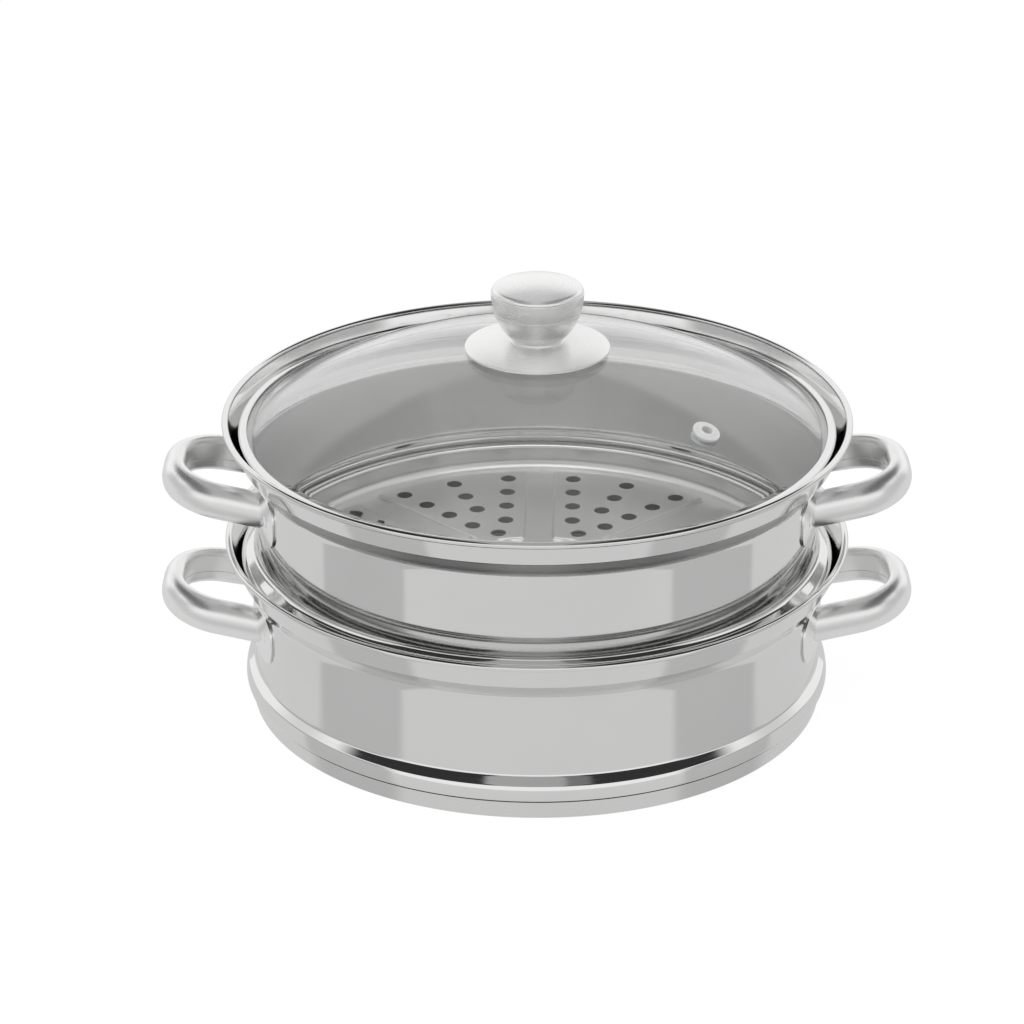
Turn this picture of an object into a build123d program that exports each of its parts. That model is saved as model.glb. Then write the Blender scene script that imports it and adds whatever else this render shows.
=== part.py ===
from build123d import *
import os
from math import asin, atan2, cos, hypot, radians, sin, sqrt, tan

# Stainless steel steamer pot: a pot with a capsule base, a steamer tier that nests in its
# flared rim, and a vented glass lid that nests in the tier the same way.
#
# Millimetres. The origin is the middle of the underside of the base, +Z is up and the
# handles lie along X. The front of the object faces -Y.

os.makedirs("parts", exist_ok=True)

# Driving dimensions of the two vessels. Both have the same rim. Insets are measured inwards
# from the rim's radius, and drops downwards from the rim's height.
rim_radius = 150.0
rim_roll = 1.6
rim_height = 82.1
crease_drop = 11.9
shoulder_drop = 9.4
crease_inset = 6.2
wall_inset = 12.9
vessel_sheet = 0.9
tier_rise = 60.4
tier_crease_inset = 7.0
tier_wall_inset = 15.4
tier_sheet = 0.8

# Running clearance between pieces that lift apart, and the overrun of cuts
seat_gap = 0.3
overrun = 5.0

# Corner radii of the vessel outlines
crease_round = 1.2
shoulder_round = 3.0
cove_round = 4.5

# Capsule base of the pot, which stands out past the wall
base_height = 10.0
base_overhang = 1.1
base_top_overhang = 2.9
base_cap_sheet = 0.8
base_edge_round = 0.7
base_groove = 0.7
groove_inset = 1.2

# Bead round the foot of the pot
bead_overhang = 4.7
bead_round = 3.8
bead_top_round = 2.0
bead_rise = 8.0
cove_rise = 3.6

# Bead and spigot of the steamer tier, whose floor hangs below the pot's rim
tier_bead_overhang = 8.0
tier_bead_round = 3.5
tier_bead_height = 7.4
tier_cove_rise = 2.6
tier_cove_round = 3.6
tier_floor_drop = 24.9
tier_floor_round = 5.5
tier_neck_round = 1.5

# Perforated floor of the steamer tier
panel_count = 8
panel_inner_radius = 43.5
panel_wall_margin = 9.6
panel_margin = 7.0
panel_rise = 1.3
panel_corner = 1.6
panel_edge_round = 0.45
hole_diameter = 7.8
hole_row_offset = 16.7
hole_inner_margin = 22.1
hole_outer_margin = 9.6
hole_rings = 4
lone_hole_margin = 8.5
floor_turn = -1.6

# Loop handles, alike on both vessels
handle_reach = 44.5
handle_spread = 30.5
handle_tip_spread = 27.5
handle_tilt = 11.3
handle_bend = 21.0
bar_height = 17.5
bar_outer_bulge = 6.4
bar_inner_depth = 3.6
bar_corner = 3.0
bar_wall = 1.4
seam_width = 0.5
seam_depth = 0.45
seam_drop = 2.2

# Curved brackets that carry the handle feet, each with one weld spot. Their height is a share
# of the pot's straight wall, and they hang below the shoulder by the margin.
bracket_sheet = 1.0
bracket_length = 37.0
bracket_height_share = 0.602
bracket_corner_share = 0.381
bracket_margin = 2.4
bracket_angle = 16.3
bracket_edge_round = 0.3
weld_angle = 19.3
weld_ball = 8.0
weld_depth = 0.55

# Lid band and glass: the band stands inside the tier's crease and below its rim
band_inset = 0.7
band_lip_width = 4.0
band_top_drop = 4.0
band_sheet = 0.8
band_fold_round = 0.6
band_foot_round = 0.2
band_fold_slope = 50.0
band_fold_facets = 4
glass_thickness = 4.0
glass_rise = 40.7
glass_flange_width = 4.8
glass_edge_round = 1.2
glass_blend = 5.0

# Steam vent in the glass
vent_distance = 98.0
vent_angle = -38.6
vent_hole_radius = 4.2
vent_barrel_radius = 3.4
vent_bore_radius = 2.6
vent_flange_radius = 6.5
vent_flange_height = 1.5
vent_flange_round = 0.7
vent_lip_height = 0.5
vent_lip_width = 1.3
vent_lip_round = 0.3
bush_flange_radius = 6.1
bush_flange_height = 0.8
clinch_radius = 4.8
clinch_height = 0.7

# Plate beneath the knob, whose edge clears the dome
plate_radius = 34.3
plate_clearance = 0.9
plate_rise = 3.1
plate_crown = 0.4
plate_sheet = 0.9
plate_edge_round = 0.3
plate_boss_radius = 12.3
plate_boss_height = 1.7
plate_boss_round = 0.7
plate_neck_round = 0.5

# Knob: each height is measured from the seam or boss below it, each inset from the radius
knob_radius = 22.0
knob_sheet = 1.2
knob_foot_overhang = 0.5
knob_foot_rise = 0.3
knob_waist_inset = 4.0
knob_waist_rise = 6.4
knob_cup_height = 13.6
knob_seam_inset = 1.3
knob_seam_bevel = 0.3
knob_belly_inset = 0.4
knob_belly_rise = 3.8
knob_ring_height = 9.2
knob_cap_inset = 0.35
knob_cap_side = 0.2
knob_cap_crown = 75.0
knob_cap_round = 2.4

# Fastening of the knob
screw_radius = 2.5
screw_length = 20.0
screw_clearance = 0.4
screw_head_radius = 4.8
screw_head_height = 3.0
screw_head_round = 1.2
screw_slot_width = 1.1
screw_slot_length = 5.6
screw_slot_depth = 1.4
knob_bush_radius = 5.5
knob_bush_height = 12.0
knob_bush_clearance = 1.6
knob_bush_flange_height = 1.6
gasket_overhang = 1.7
gasket_collar = 1.1
inner_gasket_radius = 11.0
inner_gasket_height = 1.5
inner_washer_radius = 13.0
inner_washer_sheet = 1.2
inner_washer_lip = 0.4
inner_washer_round = 0.6
lock_washer_radius = 4.4
lock_washer_height = 1.2
lock_washer_split = 0.9


def shifted(start, end, point, distance):
    """Point moved square to the line from start to end, to its left."""
    length = hypot(end[0] - start[0], end[1] - start[1])
    across = (-(end[1] - start[1]) / length, (end[0] - start[0]) / length)
    return (point[0] + across[0] * distance, point[1] + across[1] * distance)


def height_on(start, end, radius):
    """Height of the line from start to end at a radius."""
    return start[1] + (end[1] - start[1]) * (radius - start[0]) / (end[0] - start[0])


def radius_on(start, end, height):
    """Radius of the line from start to end at a height."""
    return start[0] + (end[0] - start[0]) * (height - start[1]) / (end[1] - start[1])


def arc_points(start, corner, end, radius, facets):
    """Points of a narrow fold: the arc that rounds a corner, in straight facets."""
    turn = atan2(end[1] - corner[1], end[0] - corner[0]) - atan2(corner[1] - start[1], corner[0] - start[0])
    turn = atan2(sin(turn), cos(turn))
    side = 1 if turn > 0 else -1
    setback = radius * tan(abs(turn) / 2)
    run = hypot(corner[0] - start[0], corner[1] - start[1])
    along = ((corner[0] - start[0]) / run, (corner[1] - start[1]) / run)
    foot = (corner[0] - along[0] * setback, corner[1] - along[1] * setback)
    points = []
    for step in range(facets + 1):
        angle = abs(turn) * step / facets
        ahead = radius * sin(angle)
        aside = side * radius * (1 - cos(angle))
        points.append((foot[0] + along[0] * ahead - along[1] * aside,
                       foot[1] + along[1] * ahead + along[0] * aside))
    return points


def outline_face(points, rounds):
    """Face inside a closed outline, with a round or none at each corner."""
    with BuildSketch(mode=Mode.PRIVATE) as outline:
        with BuildLine():
            FilletPolyline(*points, radius=rounds, close=True)
        make_face()
    return outline.sketch


def save(part, name):
    """Name a finished piece and write it."""
    part.label = name
    export_step(part, f"parts/{name}.step")


# Outer outline of the pot from the middle of its floor to its rim
wall_radius = rim_radius - wall_inset
crease_radius = rim_radius - crease_inset
bead_radius = wall_radius + bead_overhang
crease_height = rim_height - crease_drop
shoulder_height = crease_height - shoulder_drop
rim_centre = rim_radius - rim_roll
pot_outline = [
    (0, base_height),
    (bead_radius, base_height),
    (bead_radius, base_height + bead_rise),
    (wall_radius, base_height + bead_rise + cove_rise),
    (wall_radius, shoulder_height),
    (crease_radius, crease_height),
    (rim_centre, rim_height),
]
pot_rounds = [bead_round, bead_top_round, cove_round, shoulder_round, crease_round]

with BuildPart() as pot_body:
    with BuildSketch(Plane.XZ):
        with BuildLine():
            skin = FilletPolyline(*pot_outline, radius=pot_rounds)
            offset(skin, amount=vessel_sheet, side=Side.LEFT)
        make_face()
        with Locations((rim_centre, rim_height)):
            Circle(rim_roll)
    revolve(axis=Axis.Z)
save(pot_body.part, "pot_body")

# Inner face of the pot's shoulder, which the steamer tier and its bead rest on
seat_foot = shifted((wall_radius, shoulder_height), (crease_radius, crease_height),
                    (wall_radius, shoulder_height), vessel_sheet)
seat_head = shifted((wall_radius, shoulder_height), (crease_radius, crease_height),
                    (crease_radius, crease_height), vessel_sheet)

# Capsule base: a steel cap pressed round an aluminium disc
base_radius = wall_radius + base_overhang
base_top_radius = wall_radius + base_top_overhang
cap_rim_height = base_height - base_groove
with BuildPart() as pot_base_cap:
    with BuildSketch(Plane.XZ):
        with BuildLine():
            skin = FilletPolyline((0, 0), (base_radius, 0), (base_top_radius, cap_rim_height),
                                  radius=[base_edge_round + base_cap_sheet])
            offset(skin, amount=base_cap_sheet, side=Side.LEFT)
        make_face()
    revolve(axis=Axis.Z)
save(pot_base_cap.part, "pot_base_cap")

core_foot = shifted((base_radius, 0), (base_top_radius, cap_rim_height),
                    (base_radius, 0), base_cap_sheet)
core_head = shifted((base_radius, 0), (base_top_radius, cap_rim_height),
                    (base_top_radius, cap_rim_height), base_cap_sheet)
core_corner = (radius_on(core_foot, core_head, base_cap_sheet), base_cap_sheet)
with BuildPart() as pot_base_core:
    with BuildSketch(Plane.XZ):
        with BuildLine():
            side = FilletPolyline((0, base_cap_sheet), core_corner, core_head, radius=[base_edge_round])
            Polyline(side @ 1, (base_top_radius - groove_inset, core_head[1]),
                     (base_top_radius - groove_inset, base_height), (0, base_height), side @ 0)
        make_face()
    revolve(axis=Axis.Z)
save(pot_base_core.part, "pot_base_core")

# Bead of the steamer tier, set so that it clears the pot's shoulder by the seat gap
tier_wall_radius = rim_radius - tier_wall_inset
tier_crease_radius = rim_radius - tier_crease_inset
tier_bead_radius = tier_wall_radius + tier_bead_overhang
shoulder_slope = atan2(seat_head[1] - seat_foot[1], seat_head[0] - seat_foot[0])
bead_centre = tier_bead_radius - tier_bead_round
bead_contact = height_on(seat_foot, seat_head, bead_centre)
bead_middle = bead_contact + (tier_bead_round + seat_gap) / cos(shoulder_slope)
bead_bottom = bead_middle - tier_bead_round
bead_top = bead_bottom + tier_bead_height

# Outer outline of the steamer tier from the middle of its floor to its rim
tier_rim_height = rim_height + tier_rise
tier_floor_height = rim_height - tier_floor_drop
tier_crease_height = tier_rim_height - crease_drop
tier_shoulder_height = tier_crease_height - shoulder_drop
floor_underside = tier_floor_height - tier_sheet
tier_outline = [
    (0, floor_underside),
    (tier_wall_radius, floor_underside),
    (tier_wall_radius, bead_bottom),
    (tier_bead_radius, bead_bottom),
    (tier_bead_radius, bead_top),
    (tier_wall_radius, bead_top + tier_cove_rise),
    (tier_wall_radius, tier_shoulder_height),
    (tier_crease_radius, tier_crease_height),
    (rim_centre, tier_rim_height),
]
tier_rounds = [tier_floor_round, tier_neck_round, tier_bead_round, tier_bead_round,
               tier_cove_round, shoulder_round, crease_round]

# One raised panel of the perforated floor, lying along X
panel_outer_radius = tier_wall_radius - panel_wall_margin
half_sector = radians(180 / panel_count)
edge_along = (cos(half_sector), sin(half_sector))
edge_across = (sin(half_sector), -cos(half_sector))


def panel_point(radius, side_sign, margin):
    """Point at a radius, a margin inside one straight edge line of the sector."""
    reach = sqrt(radius ** 2 - margin ** 2)
    return (edge_along[0] * reach + edge_across[0] * margin,
            side_sign * (edge_along[1] * reach + edge_across[1] * margin))


with BuildSketch(mode=Mode.PRIVATE) as panel_shape:
    with BuildLine():
        inner_left = panel_point(panel_inner_radius, 1, panel_margin)
        outer_left = panel_point(panel_outer_radius, 1, panel_margin)
        outer_right = panel_point(panel_outer_radius, -1, panel_margin)
        inner_right = panel_point(panel_inner_radius, -1, panel_margin)
        Line(inner_left, outer_left)
        ThreePointArc(outer_left, (panel_outer_radius, 0), outer_right)
        Line(outer_right, inner_right)
        ThreePointArc(inner_right, (panel_inner_radius, 0), inner_left)
    make_face()
    fillet(panel_shape.vertices(), radius=panel_corner)

with BuildSketch(mode=Mode.PRIVATE) as panel_recess:
    add(panel_shape.sketch)
    offset(amount=-tier_sheet, mode=Mode.REPLACE)

hole_first_radius = panel_inner_radius + hole_inner_margin
hole_last_radius = panel_outer_radius - hole_outer_margin
hole_pitch = (hole_last_radius - hole_first_radius) / (hole_rings - 1)
hole_radii = [hole_first_radius + hole_pitch * ring for ring in range(hole_rings)]
hole_places = [panel_point(radius, side_sign, hole_row_offset)
               for radius in hole_radii for side_sign in (1, -1)]
hole_places += [(radius, 0) for radius in hole_radii[1:]]
hole_places += [(panel_inner_radius + lone_hole_margin, 0)]
with BuildSketch(mode=Mode.PRIVATE) as panel_holes:
    with Locations(*hole_places):
        Circle(hole_diameter / 2)

panel_places = PolarLocations(0, panel_count, start_angle=180 / panel_count + floor_turn)

with BuildPart() as steamer_body:
    with BuildSketch(Plane.XZ):
        with BuildLine():
            skin = FilletPolyline(*tier_outline, radius=tier_rounds)
            offset(skin, amount=tier_sheet, side=Side.LEFT)
        make_face()
        with Locations((rim_centre, tier_rim_height)):
            Circle(rim_roll)
    revolve(axis=Axis.Z)
    with BuildSketch(Plane.XY.offset(floor_underside)):
        with panel_places:
            add(panel_shape.sketch)
    extrude(amount=tier_sheet + panel_rise)
    panel_tops = steamer_body.faces().filter_by(Axis.Z).filter_by_position(
        Axis.Z, tier_floor_height + panel_rise / 2, tier_floor_height + 2 * panel_rise)
    fillet(panel_tops.edges(), radius=panel_edge_round)
    with BuildSketch(Plane.XY.offset(floor_underside)):
        with panel_places:
            add(panel_recess.sketch)
    extrude(amount=panel_rise, mode=Mode.SUBTRACT)
    with BuildSketch(Plane.XY.offset(floor_underside - overrun)):
        with panel_places:
            add(panel_holes.sketch)
    extrude(amount=2 * overrun, mode=Mode.SUBTRACT)
save(steamer_body.part, "steamer_body")

# Height of the brackets and how far their middle, and the handles, hang below the rim
straight_wall = shoulder_height - (base_height + bead_rise + cove_rise)
bracket_height = straight_wall * bracket_height_share
bracket_corner = bracket_height * bracket_corner_share
handle_drop = crease_drop + shoulder_drop + bracket_margin + bracket_height / 2

# Section of a handle bar: x points out of the loop and y points down
with BuildSketch(mode=Mode.PRIVATE) as bar_section:
    with BuildLine():
        ThreePointArc((0, -bar_height / 2), (bar_outer_bulge, 0), (0, bar_height / 2))
        Polyline((0, bar_height / 2), (-bar_inner_depth, bar_height / 2),
                 (-bar_inner_depth, -bar_height / 2), (0, -bar_height / 2))
    make_face()
    fillet(bar_section.vertices(), radius=bar_corner)
    offset(amount=-bar_wall, mode=Mode.SUBTRACT)
    with Locations((-bar_inner_depth, seam_drop)):
        Rectangle(2 * seam_depth, seam_width, mode=Mode.SUBTRACT)


def loop_handle(wall, rim, side):
    """One hollow loop handle whose two feet stand on the brackets of a vessel's wall."""
    tilt = radians(handle_tilt)
    loops_plane = Plane(origin=(side * wall, 0, rim - handle_drop),
                        x_dir=(side * cos(tilt), 0, sin(tilt)),
                        z_dir=(-side * sin(tilt), 0, cos(tilt)))
    tip = (handle_reach - bar_outer_bulge) / cos(tilt)
    foot = -handle_spread ** 2 / wall
    with BuildPart() as handle:
        with BuildLine(loops_plane):
            path = FilletPolyline((foot, -handle_spread), (tip, -handle_tip_spread),
                                  (tip, handle_tip_spread), (foot, handle_spread), radius=handle_bend)
        start = Plane(origin=path @ 0, x_dir=loops_plane.z_dir.cross(path % 0) * -1, z_dir=path % 0)
        with BuildSketch(start):
            add(bar_section.sketch)
        sweep(path=path)
        Cylinder(radius=wall + bracket_sheet, height=2 * (rim + overrun), mode=Mode.SUBTRACT)
    return handle.part


def foot_bracket(wall, rim, side, end):
    """Curved bracket under one handle foot, lying against a vessel's wall, with its weld dimple."""
    azimuth = bracket_angle if side > 0 else 180 - bracket_angle
    weld = weld_angle if side > 0 else 180 - weld_angle
    outward = Vector(1, 0, 0).rotate(Axis.Z, end * azimuth)
    weld_outward = Vector(1, 0, 0).rotate(Axis.Z, end * weld)
    height = Vector(0, 0, rim - handle_drop)
    with BuildPart() as bracket:
        with BuildSketch(Plane(origin=outward * wall + height,
                               x_dir=outward.rotate(Axis.Z, 90), z_dir=outward)):
            RectangleRounded(bracket_length, bracket_height, bracket_corner)
        extrude(amount=overrun, both=True)
        Cylinder(radius=wall + bracket_sheet, height=2 * (rim + overrun), mode=Mode.INTERSECT)
        Cylinder(radius=wall, height=2 * (rim + overrun), mode=Mode.SUBTRACT)
        outer_edges = bracket.faces().sort_by(SortBy.AREA)[-1].edges()
        fillet(outer_edges, radius=bracket_edge_round)
        with Locations(weld_outward * (wall + bracket_sheet + weld_ball - weld_depth) + height):
            Sphere(radius=weld_ball, mode=Mode.SUBTRACT)
    return bracket.part


for vessel, wall, rim in (("pot", wall_radius, rim_height),
                          ("steamer", tier_wall_radius, tier_rim_height)):
    for side_name, side in (("left", -1), ("right", 1)):
        save(loop_handle(wall, rim, side), f"{vessel}_handle_{side_name}")
        for end_name, end in (("front", -1), ("back", 1)):
            save(foot_bracket(wall, rim, side, end), f"{vessel}_bracket_{side_name}_{end_name}")

# Glass of the lid: a dome that blends into the flat flange held by the band
band_radius = tier_crease_radius - band_inset
band_inner_radius = band_radius - band_lip_width
band_top_height = tier_rim_height - band_top_drop
flange_top = band_top_height - band_sheet
flange_bottom = flange_top - glass_thickness
glass_radius = band_radius - band_sheet
dome_foot = glass_radius - glass_flange_width
glass_apex_height = flange_top + glass_rise
glass_dome_radius = (dome_foot ** 2 + glass_rise ** 2) / (2 * glass_rise)
dome_middle = glass_apex_height - glass_dome_radius
screw_hole_radius = screw_radius + screw_clearance
glass_hole_radius = screw_hole_radius + gasket_collar
with BuildPart() as lid_glass:
    with BuildSketch(Plane.XZ) as glass_section:
        with BuildLine() as glass_skin:
            RadiusArc((0, glass_apex_height), (dome_foot, flange_top), glass_dome_radius)
            Line((dome_foot, flange_top), (glass_radius, flange_top))
            fillet(glass_skin.vertices().sort_by(Axis.X)[1], radius=glass_blend)
            offset(amount=glass_thickness, side=Side.RIGHT)
        make_face()
        fillet(glass_section.vertices().group_by(Axis.X)[-1], radius=glass_edge_round)
    revolve(axis=Axis.Z)
    with Locations((0, 0, glass_apex_height)):
        Hole(glass_hole_radius)

# The vent stands square to the dome
vent_slope = asin(vent_distance / glass_dome_radius)
vent_turn = radians(vent_angle)
vent_outward = Vector(sin(vent_slope) * cos(vent_turn), sin(vent_slope) * sin(vent_turn), cos(vent_slope))
vent_plane = Plane(origin=Vector(0, 0, dome_middle) + vent_outward * glass_dome_radius,
                   x_dir=Vector(-sin(vent_turn), cos(vent_turn), 0), z_dir=vent_outward)
vent_section = Plane(origin=vent_plane.origin, x_dir=vent_plane.x_dir, z_dir=vent_plane.y_dir * -1)
vent_axis = Axis(vent_plane.origin, vent_outward)
with lid_glass:
    with BuildSketch(vent_plane):
        Circle(vent_hole_radius)
    extrude(amount=glass_thickness + overrun, both=True, mode=Mode.SUBTRACT)
save(lid_glass.part, "lid_glass")

# Silicone bush of the vent, cut to the glass that it grips
bush_bottom = -glass_thickness - bush_flange_height
with BuildPart() as vent_bush:
    with BuildSketch(vent_section):
        add(outline_face([(vent_barrel_radius, bush_bottom), (bush_flange_radius, bush_bottom),
                          (bush_flange_radius, bush_flange_height),
                          (vent_barrel_radius, bush_flange_height)], 0))
    revolve(axis=vent_axis)
    add(lid_glass.part, mode=Mode.SUBTRACT)
save(vent_bush.part, "vent_bush")

# Polished eyelet clinched through the bush
eyelet_top = bush_flange_height + vent_flange_height
eyelet_foot = bush_bottom - clinch_height
lip_radius = vent_bore_radius + vent_lip_width
lip_top = eyelet_top + vent_lip_height
with BuildPart() as vent_eyelet:
    with BuildSketch(vent_section):
        add(outline_face([(vent_bore_radius, eyelet_foot), (clinch_radius, eyelet_foot),
                          (clinch_radius, bush_bottom), (vent_barrel_radius, bush_bottom),
                          (vent_barrel_radius, bush_flange_height),
                          (vent_flange_radius, bush_flange_height), (vent_flange_radius, eyelet_top),
                          (lip_radius, eyelet_top), (lip_radius, lip_top), (vent_bore_radius, lip_top)],
                         [0, vent_lip_round, 0, 0, 0, 0, vent_flange_round, 0,
                          vent_lip_round, vent_lip_round]))
    revolve(axis=vent_axis)
save(vent_eyelet.part, "vent_eyelet")

# Steel band folded round the flange of the glass, its foot clear of the tier's rim by the seat gap
band_fold = band_fold_round + band_sheet
foot_fold = band_foot_round + band_sheet
rest_depth = tier_sheet + seat_gap + foot_fold
rest_foot = shifted((tier_crease_radius, tier_crease_height), (rim_centre, tier_rim_height),
                    (tier_crease_radius, tier_crease_height), rest_depth)
rest_head = shifted((tier_crease_radius, tier_crease_height), (rim_centre, tier_rim_height),
                    (rim_centre, tier_rim_height), rest_depth)
fold_middle = height_on(rest_foot, rest_head, band_radius - foot_fold)
band_slope = radians(band_fold_slope)
band_foot = fold_middle - foot_fold * tan(radians(90 + band_fold_slope) / 2)
lip_height = flange_bottom - band_sheet
lip_bend = band_radius - (lip_height - band_foot) / tan(band_slope)
band_lip = (band_inner_radius, band_top_height)
band_shoulder = (band_radius, band_top_height)
band_corner = (band_radius, band_foot)
band_bend = (lip_bend, lip_height)
with BuildPart() as lid_band:
    with BuildSketch(Plane.XZ):
        with BuildLine():
            skin = Polyline(band_lip,
                            *arc_points(band_lip, band_shoulder, band_corner, band_fold, band_fold_facets),
                            *arc_points(band_shoulder, band_corner, band_bend, foot_fold, band_fold_facets),
                            band_bend, (band_inner_radius, lip_height))
            offset(skin, amount=band_sheet, side=Side.RIGHT, kind=Kind.INTERSECTION)
        make_face()
    revolve(axis=Axis.Z)
save(lid_band.part, "lid_band")

# Knob plate: a shallow steel disc with a boss that the knob stands on
plate_foot = dome_middle + sqrt(glass_dome_radius ** 2 - plate_radius ** 2) + plate_clearance
plate_edge_height = plate_foot + plate_sheet
plate_boss_base = plate_edge_height + plate_rise
plate_boss_top = plate_boss_base + plate_boss_height
with BuildPart() as knob_base_plate:
    with BuildSketch(Plane.XZ) as plate_section:
        with BuildLine():
            SagittaArc((plate_radius, plate_edge_height), (plate_boss_radius, plate_boss_base),
                       plate_crown)
            Polyline((plate_boss_radius, plate_boss_base), (plate_boss_radius, plate_boss_top),
                     (screw_hole_radius, plate_boss_top), (screw_hole_radius, plate_foot),
                     (plate_radius, plate_foot), (plate_radius, plate_edge_height))
        make_face()
        fillet(plate_section.vertices().sort_by_distance((plate_boss_radius, plate_boss_base))[0],
               radius=plate_neck_round)
        fillet(plate_section.vertices().sort_by_distance((plate_boss_radius, plate_boss_top))[0],
               radius=plate_boss_round)
        plate_edge = plate_section.vertices().sort_by_distance((plate_radius, plate_edge_height))[0]
        plate_outline = fillet(plate_edge, radius=plate_edge_round)
        with Locations((-plate_sheet, -plate_sheet)):
            add(plate_outline, mode=Mode.SUBTRACT)
    revolve(axis=Axis.Z)
save(knob_base_plate.part, "knob_base_plate")

# Knob: a flared cup, a ring and a cap, each hollow, with a bevelled seam between them
knob_foot_radius = plate_boss_radius + knob_foot_overhang
knob_foot_height = plate_boss_top + knob_foot_rise
knob_waist_radius = knob_radius - knob_waist_inset
knob_waist_height = plate_boss_top + knob_waist_rise
knob_seam_radius = knob_radius - knob_seam_inset
knob_seam_height = plate_boss_top + knob_cup_height
with BuildPart() as knob_cup:
    with BuildSketch(Plane.XZ) as cup_section:
        with BuildLine():
            Polyline((knob_seam_radius, knob_seam_height), (0, knob_seam_height), (0, plate_boss_top),
                     (plate_boss_radius, plate_boss_top), (knob_foot_radius, knob_foot_height))
            ThreePointArc((knob_foot_radius, knob_foot_height),
                          (knob_waist_radius, knob_waist_height), (knob_seam_radius, knob_seam_height))
        cup_outline = make_face()
        with Locations((-knob_sheet, knob_sheet)):
            add(cup_outline, mode=Mode.SUBTRACT)
        chamfer(cup_section.vertices().sort_by_distance((knob_seam_radius, knob_seam_height))[0],
                length=knob_seam_bevel)
    revolve(axis=Axis.Z)
    with Locations((0, 0, plate_boss_top)):
        Hole(screw_hole_radius)
save(knob_cup.part, "knob_cup")

knob_belly_radius = knob_radius - knob_belly_inset
knob_belly_height = knob_seam_height + knob_belly_rise
knob_cap_height = knob_seam_height + knob_ring_height
with BuildPart() as knob_ring:
    with BuildSketch(Plane.XZ) as ring_section:
        with BuildLine():
            Polyline((knob_radius, knob_cap_height), (0, knob_cap_height), (0, knob_seam_height),
                     (knob_seam_radius, knob_seam_height))
            ThreePointArc((knob_seam_radius, knob_seam_height), (knob_belly_radius, knob_belly_height),
                          (knob_radius, knob_cap_height))
        ring_outline = make_face()
        with Locations((-knob_sheet, 0)):
            add(ring_outline, mode=Mode.SUBTRACT)
        for seam in ((knob_seam_radius, knob_seam_height), (knob_radius, knob_cap_height)):
            chamfer(ring_section.vertices().sort_by_distance(seam)[0], length=knob_seam_bevel)
    revolve(axis=Axis.Z)
save(knob_ring.part, "knob_ring")

knob_cap_radius = knob_radius - knob_cap_inset
cap_edge_turn = radians(90) - asin(knob_cap_radius / knob_cap_crown)
cap_edge_height = knob_cap_height + knob_cap_side + knob_cap_round * tan(cap_edge_turn / 2)
knob_top_height = cap_edge_height + knob_cap_crown - sqrt(knob_cap_crown ** 2 - knob_cap_radius ** 2)
with BuildPart() as knob_cap:
    with BuildSketch(Plane.XZ) as cap_section:
        with BuildLine():
            Polyline((0, knob_top_height), (0, knob_cap_height), (knob_cap_radius, knob_cap_height),
                     (knob_cap_radius, cap_edge_height))
            RadiusArc((0, knob_top_height), (knob_cap_radius, cap_edge_height), knob_cap_crown)
        make_face()
        cap_edge = cap_section.vertices().sort_by_distance((knob_cap_radius, cap_edge_height))[0]
        cap_outline = fillet(cap_edge, radius=knob_cap_round)
        with Locations((-knob_sheet, -knob_sheet)):
            add(cap_outline, mode=Mode.SUBTRACT)
    revolve(axis=Axis.Z)
save(knob_cap.part, "knob_cap")

# Threaded bush welded to the floor of the knob cup
bush_base = plate_boss_top + knob_sheet
knob_bush_flange_radius = knob_foot_radius - knob_sheet - knob_bush_clearance
with BuildPart() as knob_bush:
    with BuildSketch(Plane.XZ):
        add(outline_face([(screw_radius, bush_base), (knob_bush_flange_radius, bush_base),
                          (knob_bush_flange_radius, bush_base + knob_bush_flange_height),
                          (knob_bush_radius, bush_base + knob_bush_flange_height),
                          (knob_bush_radius, bush_base + knob_bush_height),
                          (screw_radius, bush_base + knob_bush_height)], 0))
    revolve(axis=Axis.Z)
save(knob_bush.part, "knob_bush")

# Silicone gasket between the glass and the plate, cut to both, with a collar through the glass
gasket_radius = plate_boss_radius + gasket_overhang
glass_underside = glass_apex_height - glass_thickness
glass_middle = glass_apex_height - glass_thickness / 2
half_sheet = plate_sheet / 2
with BuildPart() as knob_gasket:
    with BuildSketch(Plane.XZ):
        add(outline_face([(screw_hole_radius, glass_underside), (glass_hole_radius, glass_underside),
                          (glass_hole_radius, glass_middle), (gasket_radius, glass_middle),
                          (gasket_radius, plate_boss_base - half_sheet),
                          (plate_boss_radius - half_sheet, plate_boss_base - half_sheet),
                          (plate_boss_radius - half_sheet, plate_boss_top - half_sheet),
                          (screw_hole_radius, plate_boss_top - half_sheet)], 0))
    revolve(axis=Axis.Z)
    add(lid_glass.part, mode=Mode.SUBTRACT)
    add(knob_base_plate.part, mode=Mode.SUBTRACT)
save(knob_gasket.part, "knob_gasket")

# Silicone gasket under the glass and the dished steel washer that presses it
gasket_foot = glass_underside - inner_gasket_height
with BuildPart() as inner_gasket:
    with BuildSketch(Plane.XZ):
        add(outline_face([(screw_hole_radius, gasket_foot), (inner_gasket_radius, gasket_foot),
                          (inner_gasket_radius, glass_underside), (screw_hole_radius, glass_underside)], 0))
    revolve(axis=Axis.Z)
    add(lid_glass.part, mode=Mode.SUBTRACT)
save(inner_gasket.part, "inner_gasket")

washer_foot = gasket_foot - inner_washer_sheet
washer_bend = inner_washer_radius - inner_washer_sheet
with BuildPart() as inner_washer:
    with BuildSketch(Plane.XZ):
        add(outline_face([(screw_hole_radius, washer_foot), (inner_washer_radius, washer_foot),
                          (inner_washer_radius, gasket_foot + inner_washer_lip),
                          (washer_bend, gasket_foot + inner_washer_lip), (washer_bend, gasket_foot),
                          (screw_hole_radius, gasket_foot)], [0, inner_washer_round, 0, 0, 0, 0]))
    revolve(axis=Axis.Z)
save(inner_washer.part, "inner_washer")

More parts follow.
